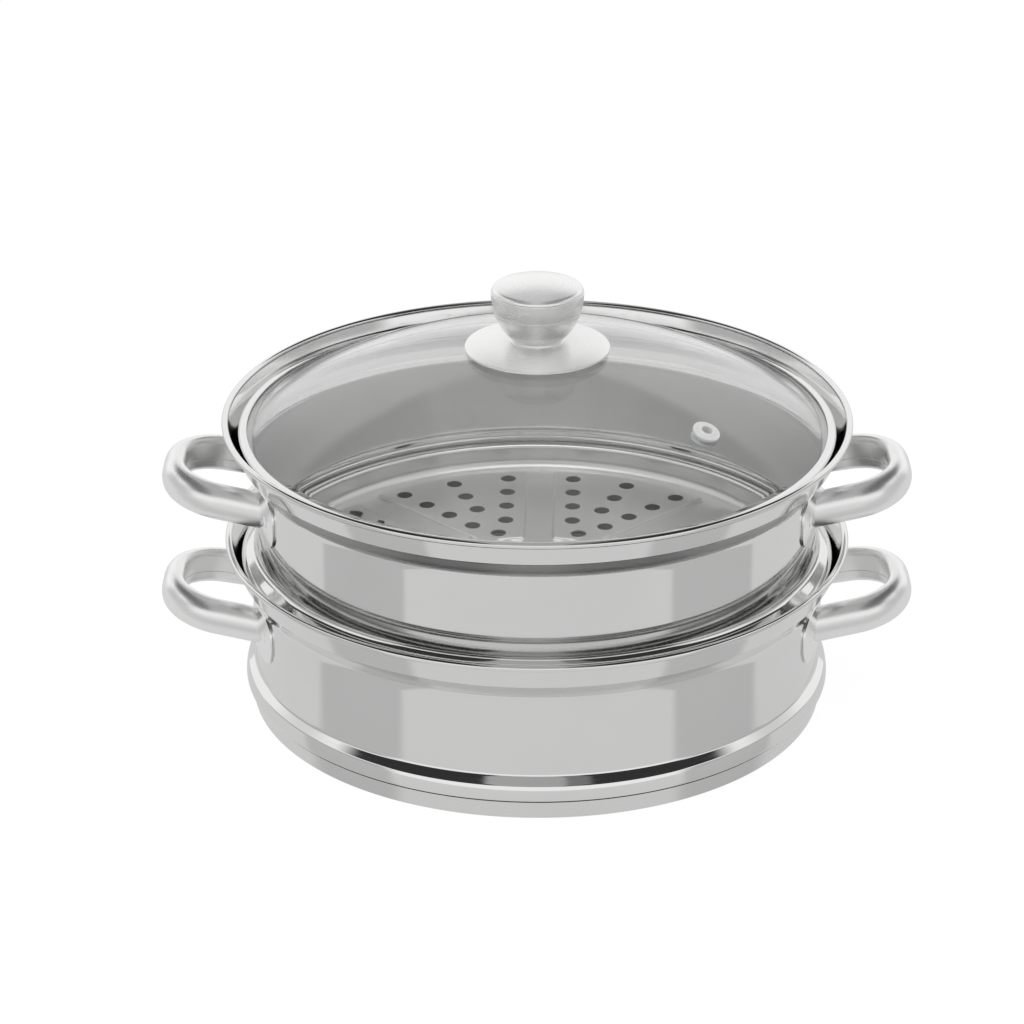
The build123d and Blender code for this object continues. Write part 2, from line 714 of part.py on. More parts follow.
# Split lock washer and the cross-slotted screw, which is driven in from inside the lid
head_top = washer_foot - lock_washer_height
with BuildPart() as lock_washer:
    with BuildSketch(Plane.XY.offset(head_top)):
        Circle(lock_washer_radius)
        Circle(screw_hole_radius, mode=Mode.SUBTRACT)
        with Locations((0, -lock_washer_radius)):
            Rectangle(lock_washer_split, 2 * screw_hole_radius, mode=Mode.SUBTRACT)
    extrude(amount=lock_washer_height)
save(lock_washer.part, "lock_washer")

head_bottom = head_top - screw_head_height
with BuildPart() as knob_screw:
    with BuildSketch(Plane.XZ):
        add(outline_face([(0, head_bottom), (screw_head_radius, head_bottom), (screw_head_radius, head_top),
                          (screw_radius, head_top), (screw_radius, head_top + screw_length),
                          (0, head_top + screw_length)], [0, screw_head_round, 0, 0, 0, 0]))
    revolve(axis=Axis.Z)
    with BuildSketch(Plane.XY.offset(head_bottom)):
        Rectangle(screw_slot_length, screw_slot_width)
        Rectangle(screw_slot_width, screw_slot_length)
    extrude(amount=screw_slot_depth, mode=Mode.SUBTRACT)
save(knob_screw.part, "knob_screw")
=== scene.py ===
"""Steamer pot: a pot with a capsule base, a steamer tier with a perforated floor, and a
vented glass lid, all polished and satin stainless steel.

Each operator makes one piece, or one group of like pieces, in metres and in the frame of
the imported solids. The main function at the end calls them in order.
"""

from math import atan2, ceil, cos, degrees, hypot, pi, radians, sin, sqrt, tan

import bmesh
import bpy
from bpy.props import FloatProperty, FloatVectorProperty, IntProperty, PointerProperty
from mathutils import Matrix, Vector


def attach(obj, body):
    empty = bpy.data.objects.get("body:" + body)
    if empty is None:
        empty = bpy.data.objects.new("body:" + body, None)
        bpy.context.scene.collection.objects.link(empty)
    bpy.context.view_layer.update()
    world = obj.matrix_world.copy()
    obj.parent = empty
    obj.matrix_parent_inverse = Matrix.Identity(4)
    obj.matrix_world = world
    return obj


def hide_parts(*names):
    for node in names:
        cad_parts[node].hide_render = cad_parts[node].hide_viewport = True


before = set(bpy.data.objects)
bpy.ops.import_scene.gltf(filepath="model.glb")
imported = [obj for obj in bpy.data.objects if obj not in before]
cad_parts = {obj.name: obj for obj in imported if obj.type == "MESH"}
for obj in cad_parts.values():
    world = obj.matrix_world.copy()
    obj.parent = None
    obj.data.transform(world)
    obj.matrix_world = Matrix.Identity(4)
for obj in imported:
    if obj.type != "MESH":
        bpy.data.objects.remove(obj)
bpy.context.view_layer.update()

bl_info = {
    "name": "Steamer pot",
    "version": (1, 0, 0),
    "blender": (4, 5, 0),
    "location": "3D View > Sidebar > Steamer pot",
    "description": "Builds the visual model of a stainless steel steamer pot round its solids",
    "category": "Add Mesh",
}

MM = 0.001
SIDES = (("left", -1), ("right", 1))

# Steps round the axis, of the vessels and the lid and of the small knob
SPIN_STEPS, KNOB_STEPS = 256, 128
# Greatest turn in degrees and greatest length of one step of a rounded corner
ARC_TURN, ARC_STEP = 7.5, 3.0 * MM
# Edges that turn by more than this stay sharp
SHARP_TURN = radians(40.0)
# Distances within which points are merged: in an outline, where copies or arcs join, and
# where the tier's floor meets its wall
SAME_POINT, SAME_JOINT, SAME_SEAM = 1e-7, 1e-6, 2e-6


# ---------------------------------------------------------------- sizes and finishes

def length(name, value, text):
    """A length in millimetres, kept in metres."""
    return FloatProperty(name=name, description=text, default=value * MM, min=0.0,
                         unit="LENGTH", precision=5)


def slant(name, value, text):
    """An angle in degrees, kept in radians."""
    return FloatProperty(name=name, description=text, default=radians(value), subtype="ANGLE")


def ratio(name, value, text):
    """A number from nought to one, such as a roughness."""
    return FloatProperty(name=name, description=text, default=value, min=0.0, max=1.0)


def tone(name, value, text):
    """A colour."""
    return FloatVectorProperty(name=name, description=text, default=value, subtype="COLOR",
                               min=0.0, max=1.0)


class SteamerVesselSizes(bpy.types.PropertyGroup):
    """Sizes of the pot and of the steamer tier."""
    rim_radius: length("Rim radius", 150.0, "Outer radius of both flared rims")
    rim_roll: length("Rim roll", 1.6, "Radius of the rolled edge")
    rim_height: length("Rim height", 82.1, "Height of the pot's rim")
    tier_rise: length("Tier rise", 60.4, "Height of the tier's rim above the pot's")
    crease_drop: length("Crease drop", 11.9, "Drop from the rim to the crease of the flare")
    shoulder_drop: length("Shoulder drop", 9.4, "Drop from the crease to the top of the wall")
    crease_inset: length("Crease inset", 6.2, "Inset of the pot's crease from its rim")
    wall_inset: length("Wall inset", 12.9, "Inset of the pot's wall from its rim")
    vessel_sheet: length("Pot sheet", 0.9, "Sheet thickness of the pot")
    tier_crease_inset: length("Tier crease inset", 7.0, "Inset of the tier's crease")
    tier_wall_inset: length("Tier wall inset", 15.4, "Inset of the tier's wall")
    tier_sheet: length("Tier sheet", 0.8, "Sheet thickness of the tier")
    seat_gap: length("Seat gap", 0.3, "Gap between pieces that lift apart")
    crease_round: length("Crease round", 1.2, "Round at the crease")
    shoulder_round: length("Shoulder round", 9.0, "Round at the top of the wall")
    cove_round: length("Cove round", 2.5, "Round above the pot's bead")
    base_height: length("Base height", 10.0, "Height of the capsule base")
    base_overhang: length("Base overhang", 1.1, "How far the base's foot passes the wall")
    base_top_overhang: length("Base top overhang", 2.9, "How far the base's top passes it")
    base_cap_sheet: length("Base cap sheet", 0.8, "Sheet thickness of the base's cap")
    base_edge_round: length("Base edge round", 0.7, "Inner round at the foot of the base")
    base_groove: length("Base groove", 0.7, "Height of the line between base and pot")
    bead_overhang: length("Bead overhang", 4.7, "How far the pot's bead passes its wall")
    bead_round: length("Bead round", 2.0, "Lower round of the pot's bead")
    bead_top_round: length("Bead top round", 1.5, "Upper round of the pot's bead")
    bead_side: length("Bead side", 3.6, "Height of the leaning side of the pot's bead")
    bead_lean: length("Bead lean", 1.15, "How far that side leans in")
    bead_side_round: length("Bead side round", 14.0, "Round of the side of the pot's bead")
    bead_rise: length("Bead rise", 8.0, "Height of the pot's bead")
    cove_rise: length("Cove rise", 3.6, "Height of the slope above the pot's bead")
    tier_bead_overhang: length("Tier bead overhang", 8.0, "How far the tier's bead passes")
    tier_bead_round: length("Tier bead round", 3.5, "Round of the tier's bead")
    tier_bead_height: length("Tier bead height", 7.4, "Height of the tier's bead")
    tier_cove_rise: length("Tier cove rise", 2.6, "Height of the slope above the tier's bead")
    tier_cove_round: length("Tier cove round", 3.6, "Round above the tier's bead")
    tier_floor_drop: length("Tier floor drop", 24.9, "Depth of the floor below the pot's rim")
    tier_floor_round: length("Tier floor round", 5.5, "Round between floor and spigot")
    tier_neck_round: length("Tier neck round", 1.5, "Round between spigot and bead")


class SteamerFloorSizes(bpy.types.PropertyGroup):
    """Sizes of the tier's perforated floor."""
    panel_count: IntProperty(name="Panels", description="Number of raised panels", default=8, min=1)
    panel_inner_radius: length("Panel inner radius", 43.5, "Radius of the panels' inner edge")
    panel_wall_margin: length("Panel wall margin", 9.6, "Plain floor outside the panels")
    panel_margin: length("Panel margin", 7.0, "Half of the plain strip between panels")
    panel_rise: length("Panel rise", 1.3, "Height of the panels")
    panel_corner: length("Panel corner", 1.6, "Corner radius of the panels")
    panel_edge_round: length("Panel edge round", 0.65, "Round of the pressed edge")
    hole_diameter: length("Hole diameter", 7.8, "Diameter of the steam holes")
    hole_row_offset: length("Hole row offset", 16.7, "Distance of the outer rows from the strip")
    hole_inner_margin: length("Hole inner margin", 22.1, "First ring of holes in the panel")
    hole_outer_margin: length("Hole outer margin", 9.6, "Last ring of holes in the panel")
    lone_hole_margin: length("Lone hole margin", 8.5, "The single inner hole in the panel")
    hole_rings: IntProperty(name="Rings", description="Rings of steam holes", default=4, min=2)
    floor_turn: slant("Floor turn", -1.6, "Turn of the panels about the axis")


class SteamerHandleSizes(bpy.types.PropertyGroup):
    """Sizes of the loop handles, alike on both vessels."""
    drop: length("Drop", 35.5, "Drop from the rim to the handle's foot")
    reach: length("Reach", 44.5, "How far the loop stands off the wall")
    spread: length("Spread", 30.5, "Half distance between the feet")
    tip_spread: length("Tip spread", 27.5, "Half distance between the bends")
    tilt: slant("Tilt", 11.3, "Upward tilt of the loop")
    bend: length("Bend", 24.5, "Bend radius of the loop")
    bar_height: length("Bar height", 17.5, "Height of the bar")
    outer_bulge: length("Outer bulge", 6.4, "Crown of the bar's outer face")
    inner_depth: length("Inner depth", 3.6, "Depth of the bar's flat sides")
    corner: length("Corner", 3.0, "Corner radius of the bar")
    seam_width: length("Seam width", 0.5, "Width of the seam on the inner face")
    seam_depth: length("Seam depth", 0.45, "Depth of the seam")
    seam_drop: length("Seam drop", 2.2, "Seam below the middle of the bar")
    bracket_sheet: length("Bracket sheet", 1.0, "Thickness of the brackets")


class SteamerLidSizes(bpy.types.PropertyGroup):
    """Sizes of the glass lid and its band."""
    band_inset: length("Band inset", 0.7, "Inset of the band from the tier's crease")
    band_lip_width: length("Band lip width", 4.0, "Width of the band's lip")
    band_top_drop: length("Band top drop", 4.0, "Drop of the band's top below the rim")
    band_sheet: length("Band sheet", 0.8, "Sheet thickness of the band")
    band_fold_round: length("Band fold round", 0.6, "Inner round of the band's fold")
    band_foot_round: length("Band foot round", 0.2, "Inner round at the band's foot")
    band_lip_round: length("Band lip round", 0.3, "Round where the foot meets the lip")
    band_fold_slope: slant("Fold slope", 50.0, "Slope of the band's foot")
    glass_thickness: length("Glass thickness", 4.0, "Thickness of the glass")
    glass_rise: length("Glass rise", 40.7, "Rise of the dome above its flange")
    glass_flange_width: length("Glass flange", 4.8, "Width of the glass flange")
    glass_edge_round: length("Glass edge round", 1.2, "Round of the glass edge")
    glass_blend: length("Glass blend", 5.0, "Blend between dome and flange")
    glass_hole_radius: length("Glass hole", 4.0, "Radius of the hole under the knob")
    vent_distance: length("Vent distance", 98.0, "Distance of the vent from the axis")
    vent_hole_radius: length("Vent hole", 4.2, "Radius of the vent hole in the glass")
    vent_angle: slant("Vent angle", -38.6, "Direction of the vent")


class SteamerKnobSizes(bpy.types.PropertyGroup):
    """Sizes of the knob and the plate beneath it."""
    plate_radius: length("Plate radius", 34.3, "Radius of the plate")
    plate_clearance: length("Plate clearance", 0.9, "Gap between plate and dome")
    plate_rise: length("Plate rise", 3.1, "Rise of the plate to its boss")
    plate_crown: length("Plate crown", 0.4, "Crown of the plate")
    plate_sheet: length("Plate sheet", 0.9, "Sheet thickness of the plate")
    plate_edge_round: length("Plate edge round", 0.3, "Round of the plate's edge")
    plate_boss_radius: length("Boss radius", 12.3, "Radius of the boss")
    plate_boss_height: length("Boss height", 1.7, "Height of the boss")
    plate_boss_round: length("Boss round", 0.7, "Round of the boss")
    plate_neck_round: length("Neck round", 0.5, "Round at the boss's foot")
    knob_radius: length("Knob radius", 22.0, "Greatest radius of the knob")
    knob_sheet: length("Knob sheet", 1.2, "Sheet thickness of the knob")
    foot_overhang: length("Foot overhang", 0.5, "How far the knob's foot passes the boss")
    foot_rise: length("Foot rise", 0.3, "Chamfer at the knob's foot")
    waist_inset: length("Waist inset", 4.0, "Inset of the cup's middle")
    waist_rise: length("Waist rise", 6.4, "Height of the cup's middle")
    cup_height: length("Cup height", 13.6, "Height of the cup")
    seam_inset: length("Seam inset", 1.3, "Inset of the seam between cup and ring")
    seam_bevel: length("Seam bevel", 0.3, "Bevel of the seams")
    belly_inset: length("Belly inset", 0.4, "Inset of the ring's middle")
    belly_rise: length("Belly rise", 3.8, "Height of the ring's middle")
    ring_height: length("Ring height", 9.2, "Height of the ring")
    cap_inset: length("Cap inset", 0.35, "Inset of the cap")
    cap_side: length("Cap side", 0.2, "Straight part of the cap's side")
    cap_crown: length("Cap crown", 75.0, "Crown radius of the cap")
    cap_round: length("Cap round", 2.4, "Round of the cap's edge")
    screw_hole_radius: length("Screw hole", 2.9, "Radius of the screw hole")


class SteamerFinish(bpy.types.PropertyGroup):
    """Colours and gloss of the metals, the glass and the silicone."""
    polished_colour: tone("Polished steel", (0.80, 0.80, 0.795), "Polished steel")
    polished_roughness: ratio("Polished roughness", 0.07, "Roughness of the polished steel")
    satin_colour: tone("Satin steel", (0.92, 0.92, 0.915), "Brushed steel")
    satin_roughness: ratio("Satin roughness", 0.28, "Roughness of the brushed steel")
    satin_metal: ratio("Satin metal", 0.78, "How mirror-like the brushed steel is")
    inside_roughness: ratio("Inside roughness", 0.3, "Roughness of the ground inner faces")
    shoulder_roughness: ratio("Shoulder roughness", 0.3, "Added under the tier's flare")
    aluminium_colour: tone("Aluminium", (0.36, 0.36, 0.365), "Core of the base")
    glass_colour: tone("Glass", (0.98, 0.985, 0.98), "Tint of the lid's glass")
    silicone_colour: tone("Silicone", (0.72, 0.73, 0.73), "Bushes and gaskets")
    backdrop_colour: tone("Backdrop", (0.9, 0.9, 0.9), "Floor and backdrop")


def sizes(context, group):
    """One of the groups of sizes kept in the scene."""
    return getattr(context.scene, "steamer_" + group)


# ---------------------------------------------------------------- outlines and spun shells

def heading(start, end):
    """Unit direction from start to end in the plane of an outline."""
    run = hypot(end[0] - start[0], end[1] - start[1])
    return ((end[0] - start[0]) / run, (end[1] - start[1]) / run)


def turn_at(before, corner, after):
    """Signed turn of an outline at a corner, positive to the left."""
    u, v = heading(before, corner), heading(corner, after)
    return atan2(u[0] * v[1] - u[1] * v[0], u[0] * v[0] + u[1] * v[1])


def shifted(start, end, point, distance):
    """Point moved square to the line from start to end, to its left."""
    u = heading(start, end)
    return (point[0] - u[1] * distance, point[1] + u[0] * distance)


def beside(points, rounds, distance):
    """Open outline moved to its left by a distance, with its corner rounds to suit."""
    moved = [shifted(points[0], points[1], points[0], distance)]
    radii = [0.0]
    for before, corner, after, radius in zip(points, points[1:], points[2:], rounds[1:]):
        turn = turn_at(before, corner, after)
        u = heading(before, corner)
        back = distance * tan(turn / 2)
        foot = shifted(before, corner, corner, distance)
        moved.append((foot[0] - u[0] * back, foot[1] - u[1] * back))
        radii.append(max(radius - distance if turn > 0 else radius + distance, 0.0))
    moved.append(shifted(points[-2], points[-1], points[-1], distance))
    radii.append(0.0)
    return moved, radii


def height_on(start, end, radius):
    """Height of the line from start to end at a radius."""
    return start[1] + (end[1] - start[1]) * (radius - start[0]) / (end[0] - start[0])


def round_corner(bm, vert, radius):
    """Bevels a vertex between two edges of a wire into an arc of the given radius."""
    first, second = (edge.other_vert(vert).co - vert.co for edge in vert.link_edges)
    turn = pi - first.angle(second)
    segments = max(3, ceil(degrees(turn) / ARC_TURN), ceil(radius * turn / ARC_STEP))
    bmesh.ops.bevel(bm, geom=[vert], offset=radius * tan(turn / 2), offset_type="OFFSET",
                    segments=segments, profile=0.5, affect="VERTICES", clamp_overlap=False,
                    material=-1)


def wire(bm, points, rounds, closed):
    """Outline in the XZ plane with each rounded corner bevelled into an arc."""
    verts = [bm.verts.new((x, 0.0, z)) for x, z in points]
    last = len(verts) if closed else len(verts) - 1
    for index in range(last):
        bm.edges.new((verts[index], verts[(index + 1) % len(verts)]))
    for vert, radius in zip(verts, rounds):
        if radius > 0.0:
            round_corner(bm, vert, radius)
    bmesh.ops.remove_doubles(bm, verts=bm.verts, dist=SAME_POINT)


def spin_wire(bm, steps=SPIN_STEPS):
    """Turns the outline into a closed skin about Z, with its poles merged."""
    bmesh.ops.spin(bm, geom=bm.verts[:] + bm.edges[:], cent=(0, 0, 0), axis=(0, 0, 1),
                   dvec=(0, 0, 0), angle=2 * pi, steps=steps, use_merge=True,
                   use_normal_flip=False, use_duplicate=False)
    bmesh.ops.remove_doubles(bm, verts=bm.verts, dist=SAME_POINT)


def finished(bm, name, material):
    """Object made from a bmesh, its faces turned outwards, at the origin."""
    bmesh.ops.recalc_face_normals(bm, faces=bm.faces)
    for face in bm.faces:
        face.smooth = True
    for edge in bm.edges:
        if len(edge.link_faces) == 2:
            edge.smooth = edge.calc_face_angle() < SHARP_TURN
    mesh = bpy.data.meshes.new(name)
    bm.to_mesh(mesh)
    bm.free()
    mesh.materials.append(material)
    piece = bpy.data.objects.new(name, mesh)
    bpy.context.scene.collection.objects.link(piece)
    weights = piece.modifiers.new("Face weights", "WEIGHTED_NORMAL")
    weights.mode = "FACE_AREA"
    weights.keep_sharp = True
    return piece


def spun(name, points, rounds, material, closed=True, steps=SPIN_STEPS):
    """Piece made by spinning an outline about Z."""
    bm = bmesh.new()
    wire(bm, points, rounds, closed)
    spin_wire(bm, steps)
    return finished(bm, name, material)


def sheet_outline(points, rounds, sheet):
    """Outline of a sheet: one face follows the points, the other lies a sheet to their left,
    or to their right where the sheet is negative."""
    inner, inner_rounds = beside(points, rounds, sheet)
    return points + inner[::-1], rounds + inner_rounds[::-1]


def stands_for(piece, node, body):
    """Lets a new piece ride on its body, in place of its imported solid."""
    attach(piece, body)
    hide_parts(node)


# ---------------------------------------------------------------- node groups

def new_group(name, scale, outputs):
    """Empty node group that takes a vector and a scale, and its input and output nodes."""
    group = bpy.data.node_groups.new(name, "ShaderNodeTree")
    group.interface.new_socket(name="Vector", in_out="INPUT", socket_type="NodeSocketVector")
    size = group.interface.new_socket(name="Scale", in_out="INPUT", socket_type="NodeSocketFloat")
    size.default_value = scale
    for label in outputs:
        group.interface.new_socket(name=label, in_out="OUTPUT", socket_type="NodeSocketFloat")
    return group, group.nodes.new("NodeGroupInput"), group.nodes.new("NodeGroupOutput")


def feed(tree, value, target):
    """Sets a socket to a plain number, or links another socket to it."""
    if isinstance(value, (int, float)):
        target.default_value = value
    else:
        tree.links.new(value, target)


def maths(tree, operation, first, second=0.0, clamp=False):
    """Math node between two values or sockets."""
    node = tree.nodes.new("ShaderNodeMath")
    node.operation = operation
    node.use_clamp = clamp
    feed(tree, first, node.inputs[0])
    feed(tree, second, node.inputs[1])
    return node.outputs[0]


def ranged(tree, value, low, high, to_low, to_high, smooth=True):
    """Map Range node from one span of values to another."""
    node = tree.nodes.new("ShaderNodeMapRange")
    node.interpolation_type = "SMOOTHSTEP" if smooth else "LINEAR"
    for label, number in (("Value", value), ("From Min", low), ("From Max", high),
                          ("To Min", to_low), ("To Max", to_high)):
        feed(tree, number, node.inputs[label])
    return node.outputs["Result"]


def uneven(tree, value, low, high):
    """Spreads the middle range of a noise between two values."""
    return ranged(tree, value, 0.3, 0.7, low, high)


def noise(tree, vector, scale, detail=2.0, roughness=0.5, distortion=0.0):
    """Noise Texture's value on a vector."""
    node = tree.nodes.new("ShaderNodeTexNoise")
    for label, number in (("Scale", scale), ("Detail", detail), ("Roughness", roughness),
                          ("Distortion", distortion)):
        feed(tree, number, node.inputs[label])
    tree.links.new(vector, node.inputs["Vector"])
    return node.outputs["Fac"]


def axes(tree, vector):
    """X, Y and Z of a vector."""
    node = tree.nodes.new("ShaderNodeSeparateXYZ")
    tree.links.new(vector, node.inputs[0])
    return node.outputs


def stretched(tree, vector, scale):
    """Mapping node that stretches a vector."""
    node = tree.nodes.new("ShaderNodeMapping")
    node.inputs["Scale"].default_value = scale
    tree.links.new(vector, node.inputs["Vector"])
    return node.outputs["Vector"]


def turned_lines():
    """Fine rings that polishing on a lathe leaves: they vary with radius and height only."""
    group, inlet, outlet = new_group("Turned lines", 900.0, ("Lines", "Bands", "Radius"))
    x, y, z = axes(group, inlet.outputs["Vector"])
    radius = maths(group, "SQRT", maths(group, "ADD", maths(group, "MULTIPLY", x, x),
                                        maths(group, "MULTIPLY", y, y)))
    around = group.nodes.new("ShaderNodeCombineXYZ")
    group.links.new(radius, around.inputs[0])
    group.links.new(z, around.inputs[1])
    lines = noise(group, around.outputs[0], inlet.outputs["Scale"], 3.0, 0.6)
    bands = noise(group, around.outputs[0], 70.0)
    for value, target in zip((lines, bands, radius), outlet.inputs):
        group.links.new(value, target)
    return group


def handling_marks():
    """Soft smudges and faint hair scratches of a washed and handled pan."""
    group, inlet, outlet = new_group("Handling marks", 14.0, ("Smudges", "Scratches"))
    smudge = noise(group, inlet.outputs["Vector"], inlet.outputs["Scale"], 4.0, 0.55, 0.6)
    hair = noise(group, stretched(group, inlet.outputs["Vector"], (90.0, 90.0, 700.0)), 1.0,
                 distortion=1.5)
    group.links.new(ranged(group, smudge, 0.45, 0.75, 0.0, 1.0), outlet.inputs["Smudges"])
    group.links.new(ranged(group, hair, 0.62, 0.72, 0.0, 1.0), outlet.inputs["Scratches"])
    return group


def brushed_grain():
    """Short parallel strokes of a satin belt, along the vector's second axis."""
    group, inlet, outlet = new_group("Brushed grain", 1.0, ("Grain", "Cloud"))
    scaled = group.nodes.new("ShaderNodeVectorMath")
    scaled.operation = "SCALE"
    group.links.new(inlet.outputs["Vector"], scaled.inputs[0])
    group.links.new(inlet.outputs["Scale"], scaled.inputs["Scale"])
    grain = noise(group, stretched(group, scaled.outputs[0], (2600.0, 60.0, 2600.0)), 1.0, 3.0, 0.6)
    cloud = noise(group, scaled.outputs[0], 45.0, 3.0)
    group.links.new(grain, outlet.inputs["Grain"])
    group.links.new(cloud, outlet.inputs["Cloud"])
    return group


GROUP_MAKERS = {"Turned lines": turned_lines, "Handling marks": handling_marks,
                "Brushed grain": brushed_grain}


def use_group(tree, name, vector, **values):
    """Places a shared node group in a material with its own values."""
    group = bpy.data.node_groups.get(name) or GROUP_MAKERS[name]()
    node = tree.nodes.new("ShaderNodeGroup")
    node.node_tree = group
    tree.links.new(vector, node.inputs["Vector"])
    for label, value in values.items():
        node.inputs[label].default_value = value
    return node


# ---------------------------------------------------------------- materials

def blank_material(name):
    """New node material: its tree, its Principled shader and its Object coordinates."""
    material = bpy.data.materials.new(name)
    material.use_nodes = True
    tree = material.node_tree
    shader = tree.nodes["Principled BSDF"]
    place = tree.nodes.new("ShaderNodeTexCoord")
    return material, tree, shader, place.outputs["Object"]


def tinted(tree, colour, factor, shade, shader):
    """Gives the shader a colour that darkens by a shade where the factor is high."""
    mix = tree.nodes.new("ShaderNodeMix")
    mix.data_type = "RGBA"
    mix.inputs["A"].default_value = (*colour, 1.0)
    mix.inputs["B"].default_value = (*(channel * shade for channel in colour), 1.0)
    tree.links.new(factor, mix.inputs["Factor"])
    tree.links.new(mix.outputs["Result"], shader.inputs["Base Color"])


def bump(tree, height, distance, shader):
    """Bump node that feeds the shader's normal."""
    node = tree.nodes.new("ShaderNodeBump")
    node.inputs["Strength"].default_value = 1.0
    node.inputs["Distance"].default_value = distance
    tree.links.new(height, node.inputs["Height"])
    tree.links.new(node.outputs["Normal"], shader.inputs["Normal"])


# Depths in metres of the polished rings, of the satin strokes and of a rough surface
RING_DEPTH, STROKE_DEPTH, ROUGH_DEPTH = 6e-7, 8e-7, 1e-5
# Width over which the ground band of a shoulder begins
SHOULDER_FADE = 1.0 * MM
# Darkening of steel and glass by smudges, of satin steel by its strokes, of bare aluminium by
# its bands and of silicone by its clouds
SMUDGE_SHADE, GLASS_SHADE, STROKE_SHADE, BAND_SHADE, CLOUD_SHADE = 0.98, 0.985, 0.975, 0.85, 0.9


def polished_steel(name, finish, lines=900.0, rough=1.0, inside=None, shoulder=None):
    """Polished steel with lathe rings, smudges and faint scratches, finely ground within
    the inside radius and on the shoulder, given by its least radius and its heights."""
    material, tree, shader, vector = blank_material(name)
    shader.inputs["Metallic"].default_value = 1.0
    rings = use_group(tree, "Turned lines", vector, Scale=lines)
    marks = use_group(tree, "Handling marks", vector, Scale=14.0)
    base = finish.polished_roughness * rough
    smudged, scratched, least, most = (base * part for part in (0.4, 0.7, 0.7, 1.3))
    worn = maths(tree, "ADD", maths(tree, "MULTIPLY", marks.outputs["Smudges"], smudged),
                 maths(tree, "MULTIPLY", marks.outputs["Scratches"], scratched))
    total = maths(tree, "ADD", uneven(tree, rings.outputs["Lines"], least, most), worn)
    if inside is not None:
        ground = maths(tree, "LESS_THAN", rings.outputs["Radius"], inside)
        total = maths(tree, "ADD", total,
                      maths(tree, "MULTIPLY", ground, finish.inside_roughness - base))
    if shoulder is not None:
        radius, low, high = shoulder
        height = axes(tree, vector)[2]
        out = ranged(tree, rings.outputs["Radius"], radius, radius + SHOULDER_FADE, 0.0,
                     finish.shoulder_roughness)
        between = maths(tree, "MULTIPLY", maths(tree, "GREATER_THAN", height, low),
                        maths(tree, "LESS_THAN", height, high))
        total = maths(tree, "ADD", total, maths(tree, "MULTIPLY", out, between))
    tree.links.new(total, shader.inputs["Roughness"])
    tinted(tree, finish.polished_colour, marks.outputs["Smudges"], SMUDGE_SHADE, shader)
    bump(tree, rings.outputs["Lines"], RING_DEPTH, shader)
    return material


def satin_steel(name, finish, turned=False, scale=1.0, rough=1.0, metal=1.0):
    """Satin steel, brushed along the bar or round the axis."""
    material, tree, shader, vector = blank_material(name)
    shader.inputs["Metallic"].default_value = finish.satin_metal * metal
    marks = use_group(tree, "Handling marks", vector, Scale=18.0)
    grain = use_group(tree, "Brushed grain", vector, Scale=scale)
    strokes = grain.outputs["Grain"]
    if turned:
        strokes = use_group(tree, "Turned lines", vector, Scale=2600.0 * scale).outputs["Lines"]
    base = finish.satin_roughness * rough
    least, most, clouding, handling = (base * part for part in (0.9, 1.1, 0.2, -0.12))
    rubbed = uneven(tree, strokes, least, most)
    clouded = maths(tree, "MULTIPLY", grain.outputs["Cloud"], clouding)
    handled = maths(tree, "MULTIPLY", marks.outputs["Smudges"], handling)
    tree.links.new(maths(tree, "ADD", maths(tree, "ADD", rubbed, clouded), handled),
                   shader.inputs["Roughness"])
    tinted(tree, finish.satin_colour, ranged(tree, strokes, 0.35, 0.75, 0.0, 1.0),
           STROKE_SHADE, shader)
    bump(tree, strokes, STROKE_DEPTH, shader)
    return material


def spun_aluminium(name, finish):
    """Bare aluminium at the edge of the core."""
    material, tree, shader, vector = blank_material(name)
    shader.inputs["Metallic"].default_value = 1.0
    rings = use_group(tree, "Turned lines", vector, Scale=1800.0)
    tree.links.new(uneven(tree, rings.outputs["Lines"], 0.42, 0.58), shader.inputs["Roughness"])
    tinted(tree, finish.aluminium_colour, rings.outputs["Bands"], BAND_SHADE, shader)
    bump(tree, rings.outputs["Lines"], ROUGH_DEPTH, shader)
    return material


def lid_glass_material(name, finish):
    """Clear tempered glass with faint water marks."""
    material, tree, shader, vector = blank_material(name)
    shader.inputs["Transmission Weight"].default_value = 1.0
    shader.inputs["IOR"].default_value = 1.5
    marks = use_group(tree, "Handling marks", vector, Scale=22.0)
    tree.links.new(ranged(tree, marks.outputs["Smudges"], 0.2, 1.0, 0.0, 0.035),
                   shader.inputs["Roughness"])
    tinted(tree, finish.glass_colour, marks.outputs["Smudges"], GLASS_SHADE, shader)
    return material


def silicone_material(name, finish):
    """Milky silicone with a fine moulded texture."""
    material, tree, shader, vector = blank_material(name)
    shader.inputs["Subsurface Weight"].default_value = 0.25
    shader.inputs["Subsurface Radius"].default_value = (2.0 * MM,) * 3
    grain = noise(tree, vector, 1500.0, 3.0, 0.6)
    tree.links.new(uneven(tree, grain, 0.38, 0.52), shader.inputs["Roughness"])
    tinted(tree, finish.silicone_colour, noise(tree, vector, 120.0), CLOUD_SHADE, shader)
    bump(tree, grain, ROUGH_DEPTH, shader)
    return material


def dress(node, material):
    """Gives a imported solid's object a material."""
    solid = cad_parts[node]
    if not solid.material_slots:
        solid.data.materials.append(material)
    for entry in solid.material_slots:
        entry.material = material


# ---------------------------------------------------------------- vessel outlines

def pot_wall(s):
    """Outer radius of the pot's wall."""
    return s.rim_radius - s.wall_inset


def tier_wall(s):
    """Outer radius of the tier's wall."""
    return s.rim_radius - s.tier_wall_inset


def tier_rim(s):
    """Height of the tier's rim."""
    return s.rim_height + s.tier_rise


